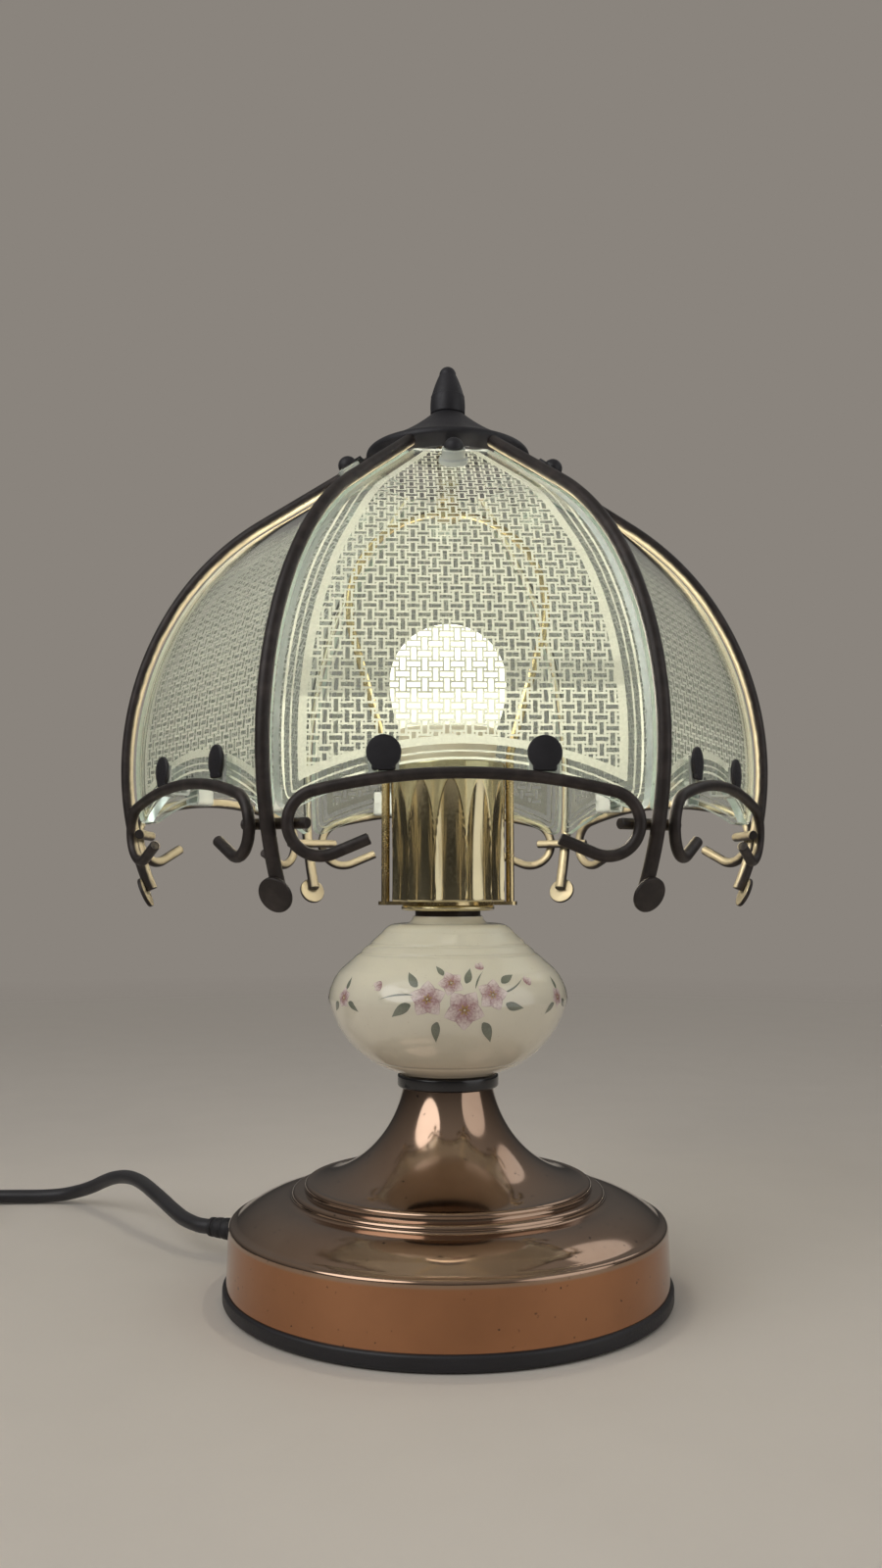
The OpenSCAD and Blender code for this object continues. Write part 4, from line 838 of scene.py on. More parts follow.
# lights: name, place, aim and size in metres, power in watts
LIGHTS = (
    ("key", (-0.9, -0.75, 0.95), (0, 0, 0.16), 1.2, 8.5),
    ("fill", (1.0, -0.6, 0.45), (0, 0, 0.16), 1.2, 3.2),
    ("back", (1.15, 0.75, 1.35), (0, 0, 0.2), 0.9, 1.4),
)


class LAMP_OT_stage(bpy.types.Operator):
    """Makes the camera, the soft lights, the world and the pale floor"""

    bl_idname = "lamp.stage"
    bl_label = "Camera, light and floor"

    def execute(self, context):
        """The camera stands where the photograph's stood, fitted from the lamp's own circles."""
        scene = context.scene
        data = bpy.data.cameras.new("view")
        data.sensor_width, data.lens, data.clip_start = 36.0, LENS, 0.01
        level = math.cos(CAMERA_RISE)
        ahead = level * math.sin(CAMERA_TURN), level * math.cos(CAMERA_TURN), math.sin(CAMERA_RISE)
        scene.camera = self.aimed("view", data, CAMERA_AT, Vector(ahead))
        for name, place, aim, size, power in LIGHTS:
            light = bpy.data.lights.new(name, "AREA")
            light.shape, light.size, light.energy = "DISK", size, power
            self.aimed(name, light, place, Vector(aim) - Vector(place))
        self.world(scene)
        self.floor()
        scene.view_settings.view_transform = "Standard"
        return {"FINISHED"}

    def aimed(self, name, data, place, ahead):
        """A camera or light at a place that looks ahead."""
        item = bpy.data.objects.new(name, data)
        item.location, item.rotation_mode = place, "QUATERNION"
        item.rotation_quaternion = ahead.to_track_quat("-Z", "Y")
        bpy.context.scene.collection.objects.link(item)
        return item

    def world(self, scene):
        """Soft light from all round; eyes, metal and glass see the backdrop's tone."""
        world = bpy.data.worlds.new("studio")
        scene.world = world
        world.use_nodes = True
        tree = world.node_tree
        tree.nodes.clear()
        ray = add(tree, "ShaderNodeLightPath").outputs
        seen = number(tree, "MAXIMUM", ray["Is Camera Ray"], ray["Is Transmission Ray"])
        place = add(tree, "ShaderNodeTexCoord").outputs["Generated"]
        height = add(tree, "ShaderNodeSeparateXYZ", {0: place}).outputs[2]
        power = ranged(tree, height, 0.05, 0.42, 0.0, 0.9)
        light = add(tree, "ShaderNodeBackground", {0: rgba(SKY), 1: power}).outputs[0]
        tone = add(tree, "ShaderNodeBackground", {0: rgba(BACKDROP), 1: 1.0}).outputs[0]
        shown = add(tree, "ShaderNodeMixShader", {0: seen, 1: light, 2: tone}).outputs[0]
        add(tree, "ShaderNodeOutputWorld", {0: shown})

    def floor(self):
        """A wide pale disc at the table's height that fades into the backdrop."""
        points, faces = turned([[0, 0], [300, 0], [900, 0], [2500, 0], [6000, 0]], 96, False)
        mesh = bpy.data.meshes.new("floor")
        mesh.from_pydata((points * MM - [0, 0, 0.0004]).tolist(), [], faces[:, ::-1].tolist())
        material, tree, place = blank("matt_painted_board")
        tone = mixed(tree, noise(tree, place, 40, 5), *BOARD)
        board = add(tree, "ShaderNodeBsdfPrincipled", {"Base Color": tone, "Roughness": 0.6}).outputs[0]
        gone = add(tree, "ShaderNodeBsdfTransparent").outputs[0]
        fade = ranged(tree, vector(tree, "LENGTH", place)["Value"], 0, 1, 0.55, 1.7)
        closed(material, add(tree, "ShaderNodeMixShader", {0: fade, 1: board, 2: gone}).outputs[0])
        mesh.materials.append(material)
        floor = bpy.data.objects.new("floor", mesh)
        bpy.context.scene.collection.objects.link(floor)


class LAMP_OT_lead(bpy.types.Operator):
    """Makes the lead with its stored coil, its relief, tie and plug"""

    bl_idname = "lamp.lead"
    bl_label = "Lead and plug"

    def execute(self, context):
        """One tube along the whole route; the relief is a ribbed taper, the plug a rounded slab."""
        z = context.scene.lamp_sizes
        route, total = smooth_path(lead_route(), 2.4)
        lead = make("lead", swept(route, z.cord / 2 / MM, 14), "base", ["cord_lead", "cord_coil"], "lead")
        out = np.array([*polar(EXIT_ANGLE), 0])
        relief = placed(self.relief(), [0, 0, EXIT_Z], np.cross([0, 0, 1], out), [0, 0, 1], out)
        make("strain_relief_sleeve", relief, "base", ["strain_relief"], "rubber")
        plug = make("moulded_plug", self.plug(), "base", ["plug_body"], "lead")
        pins = make("plug_prongs", self.pins(), "base", ["plug_pins"], "nickel")
        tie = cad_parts["cord_tie"]
        refinish(tie, "tie")
        return {"FINISHED"}

    def relief(self):
        """A taper along its own Z with grooves: r falls evenly and dips at each of five rings."""
        thick, thin, start, run = 5.4, 3.75, 82.35, 23.85
        s = np.linspace(0, 1, 71)
        r = thick + (thin - thick) * s
        dip = 0.55 * np.clip(np.cos(2 * np.pi * (s * 6 + 0.5)) - 0.2, 0, None) * (s > 0.12) * (s < 0.93)
        body = np.column_stack([r - dip, start + run * s])
        flange = [[0, 77.8], [5.2, 77.8], [thick, 78.1], [thick, 79.6], [4.25, 79.8], [4.25, 82.2]]
        return turned(line_of(flange, body, [[3.1, EXIT_R], [0, EXIT_R]]), 32, False)

    def plug(self):
        """A flat plug: its outline from cord to face is carried through its thickness with rounded edges."""
        half = np.array(
            [[0, 4.6], [3, 5.2], [7, 6.4], [11, 9.6], [15, 11.8], [22, 12.8], [30, 12.9], [34.6, 12.2], [36, 10.6]]
        )
        s = np.linspace(0, 8, 49)
        x, y = (np.interp(s, np.arange(9), half[:, k]) for k in (0, 1))
        outline = np.concatenate([np.column_stack([x, y]), np.column_stack([x, -y])[::-1]])
        middle = np.array([PLUG_L / 2, 0])
        shares = (0, 0.82, 0.93, 0.985, 1, 1, 0.985, 0.93, 0.82, 0)  # of the outline's width
        rings = [middle + (outline - middle) * [1 - 0.5 * (1 - k), k] for k in shares]
        rings[0][:] = rings[-1][:] = middle
        shape = layered(rings, (0, 0, 0.5, 1.6, 3.4, 10.6, 12.4, 13.5, PLUG_T, PLUG_T))
        return placed(shape, [PLUG_X, COIL_Y, 0], [-1, 0, 0], [0, -1, 0], [0, 0, 1])

    def pins(self):
        """Two round prongs with domed tips."""
        pin = turned(line_of([[0, 0], [2, 0], [2, 17.4]], arc([0.6, 17.6], 1.4, 0, 90, 6), [0, 19]), 24, False)
        places = ([PLUG_X - PLUG_L, COIL_Y + y, PLUG_T / 2] for y in (-PIN_APART, PIN_APART))
        return joined(*(placed(pin, place, [0, 1, 0], [0, 0, 1], [-1, 0, 0]) for place in places))


class LAMP_OT_base(bpy.types.Operator):
    """Makes the spun base, its foot ring and the seat ring"""

    bl_idname = "lamp.base"
    bl_label = "Base"

    FOOT_H = 5.6

    def execute(self, context):
        """Turned surfaces: band, edge bead, shoulder, bead ring and bell from arcs and bows."""
        make("spun_base", turned(self.shell(), 192), "base", ["base_shell"], "brass", sharp=50)
        hole, ledge, step = 66.2, 72.2, 3.2
        foot = line_of(
            [[hole, 0], [81.0, 0]],
            arc([82.0, 1.5], 1.5, -90, 0, 6),
            arc([82.3, 4.4], 1.2, 0, 90, 6),
            [[ledge, self.FOOT_H], [ledge, step], [hole, step]],
        )
        make("foot_band", turned(foot, 160), "base", ["foot_ring"], "foot")
        seat = washer("seat_ring", (18.1, 1, 6), (17.5, 1.6, 8), 96)
        make("seat_collar", seat, "base", ["seat_ring"], "gloss")
        return {"FINISHED"}

    def shell(self):
        """Half section of the shell: its outer line, and the same line moved in by the sheet's thickness."""
        neck, sheet = top_of("base_shell"), 0.9
        edge, low = 26.2, 27.8
        high = low + 7.6
        rim = high + 6.0
        outer = line_of(
            [[82.2, self.FOOT_H], [82.16, 6.4]],
            np.linspace([82.15, 7], [81.62, 25.6], 8),
            arc([80.0, edge], 1.6, 0, 78, 10),
            bow([78.8, low + 0.4], [60.8, high], 1.6, 24),
            bow([59.5, high + 0.3], [58.4, high + 1.6], -0.35, 6),
            arc([56.8, high + 1.6], 1.6, 12, 90, 10),
            [[55.2, high + 3.24], [53.9, high + 3.28]],
            arc([52.3, rim - 1.3], 1.3, -15, 90, 12),
            bow([51.4, rim - 0.15], [17.0, neck], -7.7, 60),
        )
        d = np.gradient(outer, axis=0)
        inner = (outer + sheet * unit(np.stack([-d[:, 1], d[:, 0]], -1)))[1:-1]
        hole = [[PIPE_HOLE, neck], [PIPE_HOLE, neck - sheet], [16.2, neck - sheet]]
        return line_of(outer, hole, inner[::-1], [81.3, self.FOOT_H])


class LAMP_OT_body(bpy.types.Operator):
    """Makes the glazed ceramic body with its painted flowers, and the spacer on its collar"""

    bl_idname = "lamp.body"
    bl_label = "Ceramic body"

    BELLY_R, COLLAR_POINTS, COLLAR_R, GROOVE, GROOVE_W, PRINT_UP = 45.3, 10, 15, 0.5, 0.45, 0.06

    def execute(self, context):
        """A turned body with fine grooves; petals and leaves are thin surfaces laid on its glaze."""
        low, high = foot_of("ceramic_body"), top_of("ceramic_body")
        section = line_of(
            self.outline(),
            [[PIPE_HOLE, high], [PIPE_HOLE, high - 4], [9.0, high - 7], [14, high - 8]],
            [[36, low + 42], [41, low + 28], [36, low + 17], [19, low + 4.2], [9, low + 4]],
            [[PIPE_HOLE, low + 3], [PIPE_HOLE, low]],
        )
        make("glazed_body", turned(section, 192), "base", ["ceramic_body"], "glaze", sharp=60)
        self.flowers()
        spacer = washer("neck_spacer", (12.2, 0.3, 4), (12.1, 0.4, 4), 64)
        make("neck_washer", spacer, "base", ["neck_spacer"], "neck")
        return {"FINISHED"}

    def outline(self):
        """Half section of the outside: foot, belly, sloping shoulder, flat and collar, less grooves 0.5 mm deep."""
        low, high = foot_of("ceramic_body"), top_of("ceramic_body")
        flat = high - 2.8
        belly, waist, edge = [self.BELLY_R, low + 27.8], [40.5, low + 38.8], [25.0, flat - 3.2]
        line = line_of(
            [[19, low], [19.6, low + 0.1]],
            bow([21, low + 0.8], belly, 4.9, 110),
            bow(belly, waist, 1.0, 16)[1:],
            np.linspace(waist, edge, 80)[1:],
            bow(edge, [19.8, flat], 0.7, 10)[1:],
            bow([15.4, flat + 0.2], [13.3, high], -0.5, self.COLLAR_POINTS),
        )
        for z in (high - 10.4, high - 13.7, low + 4.6):
            dip = self.GROOVE * np.exp(-(((line[:, 1] - z) / self.GROOVE_W) ** 2))
            line[:, 0] -= dip * (line[:, 0] > self.COLLAR_R)
        return line

    def on_glaze(self, x, y):
        """Point just over the glaze at x round the body from the front and y along its outline from the belly."""
        line = self.outline()[: -self.COLLAR_POINTS]
        s = lengths(line)
        at = s[np.argmax(line[:, 0])] + y
        r, z = (np.interp(at, s, line[:, k]) for k in (0, 1))
        d = np.gradient(line, s, axis=0)
        a, b = np.interp(at, s, d[:, 1]), -np.interp(at, s, d[:, 0])
        r, z = r + self.PRINT_UP * a, z + self.PRINT_UP * b
        turn = -np.pi / 2 + x / self.BELLY_R
        return np.stack([r * np.cos(turn), r * np.sin(turn), z], -1)

    def petal(self, x, y, turn, size, width, notch=0.0, curl=0.0):
        """A petal or leaf from (x, y), with its values: p runs along it and q across.

        Its half width is sin(pi p^0.7), and its tip may be notched.
        """
        rows, cols = 15, 11
        p, q = np.meshgrid(np.linspace(0, 1, rows), np.linspace(-1, 1, cols), indexing="ij")
        across = q * width / 2 * np.sin(np.pi * np.clip(p, 0.02, 0.985) ** 0.7)
        along = size * p * (1 - notch * np.exp(-((q / 0.35) ** 2)) * p**4) + 0 * q
        across = across + curl * size * p**2
        c, s = polar(turn)
        points = self.on_glaze(x + along * c - across * s, y + along * s + across * c)
        return (points.reshape(-1, 3), quads(rows, cols)), p.ravel(), np.abs(q).ravel()

    def flowers(self):
        """A trailing spray on the front and small sprigs round the belly."""
        petals, leaves, hearts = [], [], []

        def blossom(x, y, size, turn):
            """Adds five notched petals round a spot, and six small ones as its heart."""
            for kept, count, r, long, wide, notch in (
                (petals, 5, 0.5, size, size * 0.92, 0.14),
                (hearts, 6, 0.3, size * 0.26, size * 0.12, 0.0),
            ):
                for k in range(count):
                    a = turn + 360 / count * k
                    c, s = polar(a)
                    kept.append(self.petal(x + r * c, y + r * s, a, long, wide, notch))

        def leaf(x, y, turn, size, curl):
            """Adds a leaf that starts at a spot."""
            leaves.append(self.petal(x, y, turn, size, size * 0.42, 0.0, curl))

        for spot in ((-9.5, 3.2, 6.4, 20), (3.6, -0.6, 7.2, 55), (14.2, 4.6, 5.6, 5), (-1.0, 9.2, 4.6, 40)):
            blossom(*spot)
        for spot in (
            (-15.5, 1.0, 200, 8.5, 0.2), (-13.5, 7.6, 140, 7.5, -0.2), (-6.0, -5.0, 250, 8.0, 0.25),
            (10.5, -5.4, 310, 9.0, -0.2), (19.0, 1.2, 335, 7.5, 0.2), (18.6, 8.8, 35, 7.0, -0.15),
            (4.5, 9.0, 60, 7.0, 0.15), (-4.0, 12.2, 115, 5.5, 0.2),
        ):  # fmt: skip
            leaf(*spot)
        for x, y, turn, size, curl in ((-15, 4.5, 175, 13, 0.25), (18, 5, 10, 12, 0.3), (8, 7, 75, 8, -0.3)):
            leaves.append(self.petal(x, y, turn, size, 0.7, 0.0, curl))  # a stem
        for x, y, turn in ((-28, 7.4, 170), (29.6, 8.2, 25), (11.0, 15.0, 60)):
            petals.append(self.petal(x, y, turn, 4.2, 3.2, 0.1))  # a bud's two petals
            petals.append(self.petal(x, y, turn + 40, 3.4, 2.6, 0.1))
        for x in (-71, -47, 47, 71, 110, -110, 142):
            blossom(x, 2.0, 3.6, x)
            leaf(x - 3.5, 0.0, 205, 6.0, 0.2)
            leaf(x + 3.5, 0.6, -20, 6.0, -0.2)
            leaf(x + 0.5, 5.0, 80, 5.0, 0.2)
        for name, parts, finish, up in (
            ("painted_blossoms", petals, "petals", 1.0),
            ("painted_leaves", leaves, "leaves", 1.0),
            ("painted_hearts", hearts, "hearts", 1.0009),
        ):
            # later petals lie a hair above earlier ones, so that their rims overlap cleanly
            lift = [1 + 2e-5 * k for k in range(len(parts))]
            shapes = [(s[0] * [k, k, 1] * [up, up, 1], s[1]) for k, (s, _, _) in zip(lift, parts)]
            values = {key: np.concatenate([part[k] for part in parts]) for k, key in ((1, "run"), (2, "edge"))}
            make(name, joined(*shapes), "base", (), finish, values=values, solid=False)


class LAMP_OT_cup(bpy.types.Operator):
    """Makes the fluted cup and the disc under it"""

    bl_idname = "lamp.cup"
    bl_label = "Fluted cup"

    def execute(self, context):
        """The cup's wall is the lesser of its ridge radius and the flutes' round cuts."""
        make("fluted_sleeve", self.cup(), "base", ["fluted_cup"], "gold", sharp=28)
        low, high = foot_of("cup_disc"), top_of("cup_disc")
        disc = line_of(
            [[PIPE_HOLE, low], [16.9, low]],
            arc([16.8, (low + high) / 2], 1.0, -80, 80, 10),
            [[16.9, high], [PIPE_HOLE, high]],
        )
        make("cup_plate", turned(disc, 96), "base", ["cup_disc"], "gold")
        return {"FINISHED"}

    def cup(self):
        """Wall r(a, z): the inner root of a round cutter whose middle C(z) bows away from the axis.

        With b the angle from a flute's middle, r = C cos b - sqrt(R^2 - C^2 sin^2 b), and never over the ridge.
        """
        low, high = foot_of("fluted_cup"), top_of("fluted_cup")
        ridge, cutter, depth, deepest, run = 22.0, 10.3, 2.4, low + 12, 34.0
        flutes, bore, bottom, ease = 12, 18.3, 1.6, 0.3
        bow_r = (run**2 + depth**2) / (2 * depth)
        z = np.concatenate([[low, low + 0.25], np.linspace(low + 0.6, high - 0.7, 90), [high - ease, high]])
        a = round_steps(flutes * 36)
        b = (a + np.pi / flutes) % (2 * np.pi / flutes) - np.pi / flutes
        middle = ridge - depth + cutter + bow_r - np.sqrt(bow_r**2 - (z[:, None] - deepest) ** 2)
        room = cutter**2 - (middle * np.sin(b)) ** 2
        cut = np.where(room > 0, middle * np.cos(b) - np.sqrt(np.clip(room, 0, None)), ridge)
        wall = np.minimum(cut, ridge)
        wall[[0, -1]] -= 0.35
        wall[[1, -2]] -= 0.1
        radii = (PIPE_HOLE, *wall, bore + ease, bore, bore, PIPE_HOLE)
        heights = (low, *z, high, high - ease, low + bottom, low + bottom)
        return layered([np.stack([r * np.cos(a), r * np.sin(a)], -1) for r in radii], heights, True)


class LAMP_OT_harp(bpy.types.Operator):
    """Makes the harp's wire with its stud and the shade's riser"""

    bl_idname = "lamp.harp"
    bl_label = "Harp"

    def execute(self, context):
        """A wire along upright legs, a bend, leaning sides and a round top."""
        z = context.scene.lamp_sizes
        low, lean, top_r, bend, leg, wire_r = foot_of("harp_saddle"), 15.6, 38.4, 24.0, 23.9, 1.6
        high = top_of("harp") - wire_r
        middle = high - top_r
        side = top_r * polar(-lean) + [0, middle]
        c, s = polar(lean)
        bend_x = leg + bend * (1 - c)
        bend_top = side[1] - (side[0] - bend_x) / s * c
        half = line_of(
            np.linspace([leg, low], [leg, bend_top - bend * s], 12)[:-1],
            arc([leg + bend, bend_top - bend * s], bend, 180, 180 - lean, 10)[:-1],
            np.linspace([bend_x, bend_top], side, 14)[:-1],
            arc([0, middle], top_r, -lean, 90, 48),
        )
        wire = swept(mirrored(half), z.harp_wire / MM, 18, [0, 1, 0])
        make("harp_wire", wire, "base", ["harp"], "wire")
        nut_half, nut_r, riser_r, riser_hole, stud_r = 3.4, 4.2, 4.6, 3.15, 3
        nut_top = high + nut_half
        nut = line_of(
            arc([nut_r, high - 2.4], 1.0, -90, 0, 5),
            arc([nut_r, high + 2.4], 1.0, 0, 90, 5),
            [[0, nut_top], [0, high - nut_half]],
        )
        top = top_of("harp_stud")
        stud = [[0, high + 3.0], [stud_r, high + 3.0], [stud_r, top - 0.5], [2.5, top], [0, top]]
        nut_and_stud = joined(turned(nut, 6), turned(stud, 32, False))
        make("harp_finger_nut", nut_and_stud, "base", ["harp_stud"], "wire")
        top = top_of("shade_riser")
        lower = [[riser_hole, nut_top], [4.3, nut_top], [riser_r, high + 3.7]]
        riser = line_of(lower, [[riser_r, top - 0.3], [4.3, top], [riser_hole, top]])
        make("riser_tube", turned(riser, 48), "base", ["shade_riser"], "wire")
        return {"FINISHED"}


class LAMP_OT_bulb(bpy.types.Operator):
    """Makes the lit globe bulb"""

    bl_idname = "lamp.bulb"
    bl_label = "Bulb"

    def execute(self, context):
        """A globe on a bowed neck, and a collar that tapers into the cup."""
        low, globe_r, wall, collar_h, glow_r = foot_of("bulb_globe"), 22.5, 1.2, 12.8, 18
        middle = top_of("bulb_globe") - globe_r
        section = line_of(
            bow([18.6, low], [globe_r, middle], 0.98, 16)[:-1],
            arc([0, middle], globe_r, 0, 90, 40),
            arc([0, middle], globe_r - wall, 90, 0, 20),
            [[20.4, low + 8], [17.4, low]],
        )
        globe = make("lit_globe", turned(section, 96), "bulb", ["bulb_globe"], "globe")
        globe.visible_shadow = False
        light = bpy.data.lights.new("bulb_glow", "POINT")
        light.energy, light.shadow_soft_size = context.scene.lamp_sizes.bulb_light, glow_r * MM
        light.color = context.scene.lamp_colours.lamp
        glow = bpy.data.objects.new("bulb_glow", light)
        glow.location = (0, 0, middle * MM)
        context.scene.collection.objects.link(glow)
        foot = foot_of("bulb_collar")
        collar = line_of(
            [[0, foot], [13.1, foot], [14, foot + 2.6], [17.4, low - collar_h]],
            bow([17.9, low - 12.6], [18.9, low - 0.4], 0.4, 12),
            [[18.7, low], [0, low]],
        )
        make("globe_collar", turned(collar, 96, False), "bulb", ["bulb_collar"], "collar")
        return {"FINISHED"}


class LAMP_OT_crown(bpy.types.Operator):
    """Makes the crown and the finial"""

    bl_idname = "lamp.crown"
    bl_label = "Crown and finial"

    def execute(self, context):
        """Turned forms: a shallow cone with a square rim, and a drum with a pointed top."""
        rim, top, hub, rounding = shade_lines()[0], top_of("crown"), top_of("shade_riser"), 2.2
        high, low = rim + RIM_HALF * RIB_OUT, rim - RIM_HALF * RIB_OUT
        crown = line_of(
            [[STUD_HOLE, hub], [8.0, hub], [9.0, low[1] + (low[0] - 9) * TAN_SLOPE]],
            [low - 0.4 * RIB_DIR, low + 0.3 * RIB_OUT],
            arc(high - rounding * RIB_OUT - rounding * RIB_DIR, rounding, -SLOPE, 90 - SLOPE, 8),
            bow(high - 2.4 * RIB_DIR, [CROWN_TOP_R, top], -1.2, 30),
            [STUD_HOLE, top],
        )
        make("turned_crown", turned(crown, 128), "shade", ["crown"], "black")
        turn_gap, tip_r = 0.02, 3.3  # the gap lets the finial turn on the crown
        base, tip = foot_of("finial") + turn_gap, top_of("finial")
        drum = base + 7.8
        finial = line_of(
            [STUD_HOLE, base],
            arc([6.2, base + 0.6], 0.6, -90, 0, 5),
            bow([6.8, base + 1.6], [6.6, drum - 1.0], 0.12, 8),
            arc([6.1, drum - 0.5], 0.5, 0, 60, 5),
            bow([6.3, drum + 0.2], [3.35, tip - 3.4], 0.2, 14),
            arc([0, tip - tip_r], tip_r, 4, 90, 14),
            [[0, drum - 1], [STUD_HOLE, drum - 1]],
        )
        make("acorn_finial", turned(finial, 64), "finial", ["finial"], "black")
        return {"FINISHED"}


class LAMP_OT_frame(bpy.types.Operator):
    """Makes the shade's ribs, scrolls and cross pins"""

    bl_idname = "lamp.frame"
    bl_label = "Shade frame"

    def execute(self, context):
        """Rods carried along the ribs' and scrolls' lines; a disc is set on each rib's tip."""
        z = context.scene.lamp_sizes
        z_pin, pin_d, distance, arch, turn = scroll_numbers()
        rib, scroll = self.rib(z.rib_rod / MM), self.scroll(z.scroll_rod / MM, arch, turn)
        c, s = polar(SCROLL_LEAN)
        scroll = placed(scroll, [distance, 0, z_pin], [0, 1, 0], [-c, 0, s], [s, 0, c])
        for kind, shape, ahead in (("rib", rib, HALF), ("scroll", scroll, 0)):
            for k in range(PANELS):
                rod = spun(shape, panel_turn(k) + ahead)
                make(f"{kind}_rod_{k + 1}", rod, "shade", [f"{kind}_{k + 1}"], "rod")
        pin_half = 12
        pin = swept([[pin_d, y, z_pin] for y in np.linspace(-pin_half, pin_half, 7)], PIN_R, 16, [1, 0, 0])
        pins = joined(*(spun(pin, 2 * HALF * k) for k in range(PANELS)))
        make("tie_pins", pins, "shade", ["cross_pins"], "rod")
        return {"FINISHED"}

    def rib(self, r):
        """A rib's rod and the disc on its tip."""
        line, out = rib_line(), polar(-TAIL_TURN)
        sunk = 0.6
        at, normal = line[0] + (r - sunk) * out, np.array([out[0], 0, out[1]])
        disc = placed(coin(5.8, 1.6, 0.5, 0.25), [at[0], 0, at[1]], [0, 1, 0], np.cross(normal, [0, 1, 0]), normal)
        return joined(swept(upright(line), r, 20, [0, 1, 0]), disc)

    def scroll(self, r, arch, turn):
        """A scroll's rod in the XZ plane: a flat arch, a loop at each end and a straight tail."""
        past = -90 - LOOP_PAST
        c, s = polar(LOOP_PAST)
        tail = LOOP_R * polar(past) + [LOOP_U, 0]
        half = line_of(
            np.linspace(tail + LOOP_TAIL * np.array([-c, s]), tail, 8)[:-1],
            arc([LOOP_U, 0], LOOP_R, past, 90 - turn, 44)[:-1],
            arc([0, ARCH_H - arch], arch, 90 - turn, 90, 20),
        )
        return swept(mirrored(half), r, 18, [0, 1, 0])


class LAMP_OT_glass(bpy.types.Operator):
    """Makes the bent glass panels and their printed weave"""

    bl_idname = "lamp.glass"
    bl_label = "Glass panels"

    def execute(self, context):
        """Each panel is two bent faces joined at their edges; the print lies just behind the inner face."""
        t, print_gap, print_trim = context.scene.lamp_sizes.glass / MM, 0.08, 0.4
        outer, inner = panel_grid(0.0)[0], panel_grid(t)[0]
        rows, cols = outer.shape[:2]
        n = rows * cols
        face = quads(rows, cols)
        place = np.arange(n).reshape(rows, cols)
        ring = np.concatenate([place[0], place[1:, -1], place[-1, -2::-1], place[-2:0:-1, 0]])
        after = np.roll(ring, -1)
        edge = np.stack([ring, after, after + n, ring + n], -1)
        faces = np.concatenate([face, face[:, ::-1] + n, edge])
        shape = np.concatenate([outer.reshape(-1, 3), inner.reshape(-1, 3)]), faces
        kind = np.concatenate([np.zeros(2 * len(face)), np.ones(len(edge))])
        printed, across, along, margin = panel_grid(t + print_gap, 121, 149, print_trim)
        sheet = printed.reshape(-1, 3), quads(*printed.shape[:2])
        values = {"across": across, "along": along, "margin": margin}
        for k in range(PANELS):
            name, panel = f"bent_panel_{k + 1}", spun(shape, panel_turn(k))
            panel = make(name, panel, "shade", [f"glass_panel_{k + 1}"], "glass edge", kind)
            panel.visible_shadow = False
            name, weave = f"weave_print_{k + 1}", spun(sheet, panel_turn(k))
            make(name, weave, "shade", (), "weave", values=values, solid=False)
        return {"FINISHED"}


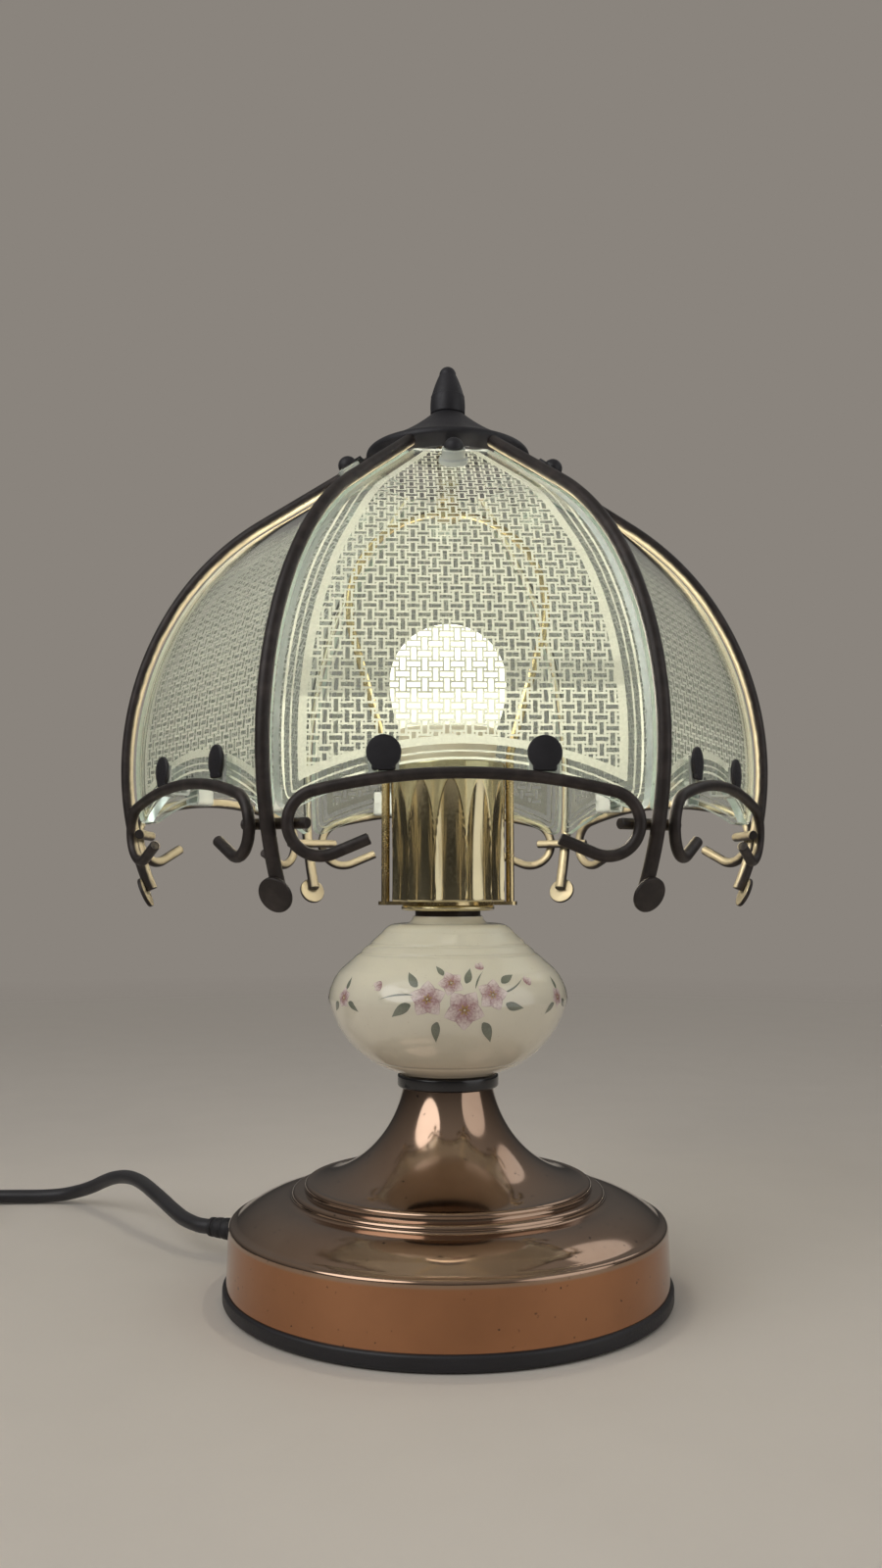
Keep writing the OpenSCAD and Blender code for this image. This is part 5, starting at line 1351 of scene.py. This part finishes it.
class LAMP_OT_clips(bpy.types.Operator):
    """Makes the clips that hold the glass and their clear cushions"""

    bl_idname = "lamp.clips"
    bl_label = "Clips and cushions"

    CLIP_U, DISC_R, CUSHION_T, BUTTON_D, BUTTON_R, STRAP_L = 24.6, 5.4, 0.9, 41.0, 3.6, 15.4

    def execute(self, context):
        """Domed discs on tabs below, round buttons on straps above, clear cushions between them and the glass."""
        wide = (shade_lines()[3][0] + LOWER_R - GLASS_IN) * COS_HALF
        front = wide + 2 * FIT + self.CUSHION_T
        axes = [0, 1, 0], [0, 0, 1], [1, 0, 0]
        disc = placed(coin(self.DISC_R, 1.4, 0.45, 0.35), [front, 0, top_of("lower_clips") - self.DISC_R], *axes)
        tab = placed(slab(7.4, 5.0, 1.4, 0.35), [front, 0, foot_of("lower_clips") + 2.4], *axes)
        clip, pad = self.button()
        pair = -self.CLIP_U, self.CLIP_U
        for name, shape, places, node, slot, finish in (
            ("disc_clips", joined(disc, tab), pair, "lower_clips", "crown_black", "black"),
            ("edge_cushions", self.fold(wide), pair, "lower_cushions", "clear_cushion", "vinyl"),
            ("button_clips", clip, (0,), "upper_clips", "crown_black", "black"),
            ("button_cushions", pad, (0,), "upper_cushions", "clear_cushion", "vinyl"),
        ):
            spots = [(k, u) for k in range(PANELS) for u in places]
            shapes = [spun((shape[0] + [0, u, 0], shape[1]), panel_turn(k)) for k, u in spots]
            make(name, joined(*shapes), "shade", [node], finish)
        return {"FINISHED"}

    def fold(self, wide):
        """A clear strip folded under the glass, between an outer and an inner U line."""
        low, high = foot_of("lower_cushions"), top_of("lower_cushions")
        t, half, glass, lean = self.CUSHION_T, 4.7, 3.0, 2.2
        # behind lie the glass, the strip twice and the room that the glass's lean takes
        back, out = wide - glass - 2 * t - lean, wide + FIT + t

        def u_line(a, b, z, r):
            """A U from a to b with its bottom at z and corners of radius r."""
            corners = arc([a + r, z + r], r, 180, 270, 8), arc([b - r, z + r], r, 270, 360, 8)
            return sampled(line_of([a, high], *corners, [b, high]), 48)

        return strip(u_line(back, out, low, 1.3), u_line(back + t, out - t, low + t, 0.5), half)

    def button(self):
        """A round head, its strap bent down to the glass and under the crown, and the flanged cushion below."""
        profile = GlassProfile()
        d, z = profile.at(np.interp(-self.BUTTON_D, -profile.line[:, 0], profile.s))
        slope = math.atan(TAN_SLOPE / COS_HALF)
        c, s = math.cos(slope), math.sin(slope)
        down, out = np.array([c, 0, -s]), np.array([s, 0, c])
        head = turned(line_of([[0, 0], [3.4, 0]], arc([0, 0], self.BUTTON_R, 5, 90, 16)), 48, False)
        under = np.array([[0, 0], [-4.9, 0], [-7, -5.6], [-self.STRAP_L, -5.6]])
        over = np.array([[0, 0.9], [-5.53, 0.9], [-7.63, -4.7], [-self.STRAP_L, -4.7]])
        pad = line_of(
            [0, 0],
            arc([4.8, 0.5], 0.5, -90, 0, 5),
            arc([4.8, 1.7], 0.5, 0, 90, 5),
            bow([4.55, 2.25], [4.3, 2.6], -0.06, 4),
            arc([3.9, 5.2], 0.4, 0, 90, 5),
            [0, 5.6],
        )
        base, axes, head_up = np.array([d, 0, z]), (down, [0, 1, 0], out), 5.9
        clip = placed(joined(head, strip(under, over, 2.5)), base + head_up * out, *axes)
        return clip, placed(turned(pad, 48, False), base + FIT * out, *axes)


class LAMP_OT_inside(bpy.types.Operator):
    """Gives the pieces inside the base and the lampholder their finishes"""

    bl_idname = "lamp.inside"
    bl_label = "Inner pieces"

    def execute(self, context):
        """The frame's own solids stay, with a made material each."""
        for finish, nodes in {
            "cover": ["bottom_cover"],
            "steel": ["cover_screws", "threaded_pipe", "pipe_nuts", "pipe_washer"],
            "iron": ["base_weight"],
            "moulded": ["touch_module", "lampholder", "bulb_tip"],
            "contact": ["sense_lead", "screw_shell", "centre_contact"],
            "lead": ["inner_leads"],
            "wire": ["harp_saddle"],
            "cap": ["bulb_cap"],
        }.items():
            for node in nodes:
                refinish(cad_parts[node], finish)
        return {"FINISHED"}


class LAMP_PT_panel(bpy.types.Panel):
    """Lists the lamp's pieces, sizes and colours"""

    bl_idname = "LAMP_PT_panel"
    bl_label = "Touch table lamp"
    bl_space_type = "VIEW_3D"
    bl_region_type = "UI"
    bl_category = "Lamp"

    def draw(self, context):
        """One button for each operator, then the values."""
        for operator in OPERATORS:
            self.layout.operator(operator.bl_idname)
        for group in (context.scene.lamp_sizes, context.scene.lamp_colours):
            for key in group.__annotations__:
                self.layout.prop(group, key)


OPERATORS = (
    LAMP_OT_stage,
    LAMP_OT_lead,
    LAMP_OT_base,
    LAMP_OT_body,
    LAMP_OT_cup,
    LAMP_OT_harp,
    LAMP_OT_bulb,
    LAMP_OT_crown,
    LAMP_OT_frame,
    LAMP_OT_glass,
    LAMP_OT_clips,
    LAMP_OT_inside,
)


def register():
    """Registers the classes and hangs the values on the scene."""
    for cls in (LampSizes, LampColours, *OPERATORS, LAMP_PT_panel):
        bpy.utils.register_class(cls)
    bpy.types.Scene.lamp_sizes = bpy.props.PointerProperty(type=LampSizes)
    bpy.types.Scene.lamp_colours = bpy.props.PointerProperty(type=LampColours)


def unregister():
    """Takes the values and classes away again."""
    del bpy.types.Scene.lamp_sizes, bpy.types.Scene.lamp_colours
    for cls in (LAMP_PT_panel, *reversed(OPERATORS), LampColours, LampSizes):
        bpy.utils.unregister_class(cls)


def main():
    """Builds the lamp."""
    register()
    for operator in OPERATORS:
        getattr(bpy.ops.lamp, operator.bl_idname.split(".")[1])()


if __name__ == "__main__":
    main()
